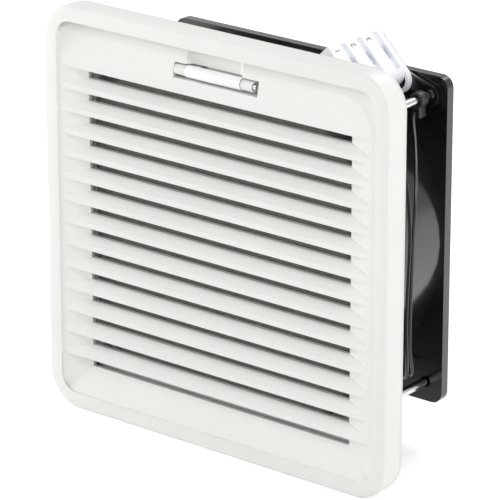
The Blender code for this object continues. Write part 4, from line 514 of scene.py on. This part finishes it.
def mat_mesh():
    """The filter mat as a springy pad: its faces billow and its edges are a little ragged."""
    low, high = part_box("filter_mat")
    half = high[0]
    corner = 2 * half - MAT_CORNER_CUT
    bm = bmesh.new()
    for y, facing in ((low[1], 1), (high[1], -1)):
        grid = {}
        for i in range(MAT_CELLS + 1):
            for j in range(MAT_CELLS + 1):
                x = -half + 2 * half * i / MAT_CELLS
                z = -half + 2 * half * j / MAT_CELLS
                if abs(x) + abs(z) > corner + MAT_CUT_TOLERANCE:
                    continue
                edge = min(half - abs(x), half - abs(z), corner - abs(x) - abs(z))
                grid[i, j] = bm.verts.new((x, y + facing * mat_inward(x, y, z, edge), z))
        for i in range(MAT_CELLS):
            for j in range(MAT_CELLS):
                square = [grid.get(k) for k in ((i, j), (i + 1, j), (i + 1, j + 1), (i, j + 1))]
                present = [v for v in square if v]
                if len(present) >= 3:
                    bm.faces.new(present[::facing])
    rim = [e for e in bm.edges if len(e.link_faces) == 1]
    bmesh.ops.bridge_loops(bm, edges=rim)
    bmesh.ops.recalc_face_normals(bm, faces=bm.faces)
    mesh = bpy.data.meshes.new("filter_pad")
    bm.to_mesh(mesh)
    bm.free()
    mesh.shade_smooth()
    return mesh


pad = add_piece("filter_pad", mat_mesh(), "fibre", "fan_unit")
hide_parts("filter_mat")


def digit(text, index):
    """A small plain number printed on the terminal block's top face."""
    curve = bpy.data.curves.new(f"terminal_digit_{text}", "FONT")
    curve.body = text
    curve.size = DIGIT_SIZE
    curve.extrude = DIGIT_EXTRUDE
    curve.align_x = "CENTER"
    curve.align_y = "CENTER"
    block_low, block_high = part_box("terminal_block")
    y = block_low[1] + POLE_CENTRE + index * POLE_PITCH
    spot = TERMINAL_AXES @ Matrix.Translation((DIGIT_ACROSS, y, TERMINAL_TOP + DIGIT_LIFT))
    place = spot @ Matrix.Rotation(math.radians(180), 4, "Z")
    add_piece(f"terminal_digit_{text}", curve, "ink", "fan_unit", place)


for index, text in enumerate("123"):
    digit(text, index)


# Floor, world, lights and camera

def white_for_camera(tree, shader_output, glow):
    """Adds an even glow that only camera, glossy and transmission rays see."""
    rays = add_node(tree, "ShaderNodeLightPath")
    first = add_node(tree, "ShaderNodeMath", operation="MAXIMUM")
    seen = add_node(tree, "ShaderNodeMath", operation="MAXIMUM")
    tree.links.new(rays.outputs["Is Camera Ray"], first.inputs[0])
    tree.links.new(rays.outputs["Is Glossy Ray"], first.inputs[1])
    tree.links.new(first.outputs["Value"], seen.inputs[0])
    tree.links.new(rays.outputs["Is Transmission Ray"], seen.inputs[1])
    scaled = add_node(tree, "ShaderNodeMath", operation="MULTIPLY")
    scaled.inputs[1].default_value = glow
    tree.links.new(seen.outputs["Value"], scaled.inputs[0])
    emission = add_node(tree, "ShaderNodeEmission")
    tree.links.new(scaled.outputs["Value"], emission.inputs["Strength"])
    total = add_node(tree, "ShaderNodeAddShader")
    tree.links.new(shader_output, total.inputs[0])
    tree.links.new(emission.outputs["Emission"], total.inputs[1])
    return total.outputs["Shader"]


def make_floor():
    """A matt white floor just under the part, which keeps its shadow."""
    material, tree, shader = new_material("floor_look")
    shader.inputs["Base Color"].default_value = (*FLOOR_COLOUR, 1.0)
    shader.inputs["Roughness"].default_value = 0.9
    shader.inputs["Specular IOR Level"].default_value = 0.1
    output = tree.nodes["Material Output"]
    tree.links.new(white_for_camera(tree, shader.outputs["BSDF"], FLOOR_GLOW), output.inputs["Surface"])
    bpy.ops.mesh.primitive_plane_add(size=FLOOR_SIZE, location=(0.0, 0.0, cad_low[2] - FLOOR_DROP))
    floor = bpy.context.object
    floor.name = "floor"
    floor.data.materials.append(material)


def make_world():
    """White for the camera, and for all else a light that fades from the horizon upwards."""
    world = bpy.data.worlds.new("studio")
    bpy.context.scene.world = world
    world.use_nodes = True
    tree = world.node_tree
    light = tree.nodes["Background"]
    light.inputs["Color"].default_value = (1.0, 1.0, 1.0, 1.0)
    direction = add_node(tree, "ShaderNodeTexCoord")
    parts = add_node(tree, "ShaderNodeSeparateXYZ")
    tree.links.new(direction.outputs["Generated"], parts.inputs["Vector"])
    fade = add_node(tree, "ShaderNodeMapRange")
    fade.inputs["To Min"].default_value = HORIZON_STRENGTH
    fade.inputs["To Max"].default_value = ZENITH_STRENGTH
    tree.links.new(parts.outputs["Z"], fade.inputs["Value"])
    tree.links.new(fade.outputs["Result"], light.inputs["Strength"])
    seen = add_node(tree, "ShaderNodeBackground", Color=(1.0, 1.0, 1.0, 1.0), Strength=1.0)
    rays = add_node(tree, "ShaderNodeLightPath")
    mix = add_node(tree, "ShaderNodeMixShader")
    tree.links.new(rays.outputs["Is Camera Ray"], mix.inputs["Fac"])
    tree.links.new(light.outputs["Background"], mix.inputs[1])
    tree.links.new(seen.outputs["Background"], mix.inputs[2])
    tree.links.new(mix.outputs["Shader"], tree.nodes["World Output"].inputs["Surface"])


def outward(azimuth, elevation):
    """The direction from the part towards a camera or lamp; azimuth 0 is straight ahead of it."""
    level = math.cos(elevation)
    return Vector((math.sin(azimuth) * level, -math.cos(azimuth) * level, math.sin(elevation)))


def add_light(name, azimuth, elevation, size, power):
    """A round lamp that faces the part."""
    location = outward(math.radians(azimuth), math.radians(elevation)) * LIGHT_DISTANCE
    lamp = bpy.data.lights.new(name, "AREA")
    lamp.shape = "DISK"
    lamp.size = size
    lamp.energy = power
    thing = bpy.data.objects.new(name, lamp)
    thing.location = location
    thing.rotation_mode = "QUATERNION"
    thing.rotation_quaternion = (LIGHT_AIM - location).to_track_quat("-Z", "Y")
    bpy.context.scene.collection.objects.link(thing)


def make_camera():
    """The photograph's camera, set out from the middle of the cover's front."""
    back = outward(CAMERA_AZIMUTH, CAMERA_ELEVATION)
    right = Vector((math.cos(CAMERA_AZIMUTH), math.sin(CAMERA_AZIMUTH), 0.0))
    up = back.cross(right)
    front_centre = Vector((0.0, cad_low[1], 0.0))
    camera = bpy.data.cameras.new("camera")
    camera.lens = CAMERA_LENS
    camera.sensor_width = CAMERA_SENSOR
    camera.clip_start = 0.05
    camera.clip_end = 20.0
    thing = bpy.data.objects.new("camera", camera)
    place = front_centre + back * CAMERA_DISTANCE + right * CAMERA_RIGHT + up * CAMERA_UP
    turn = Matrix((right, up, back)).transposed().to_4x4()
    thing.matrix_world = Matrix.Translation(place) @ turn
    bpy.context.scene.collection.objects.link(thing)
    bpy.context.scene.camera = thing


make_floor()
make_world()
for name, settings in LIGHTS.items():
    add_light(name, **settings)
make_camera()

bpy.context.scene.view_settings.view_transform = "Standard"
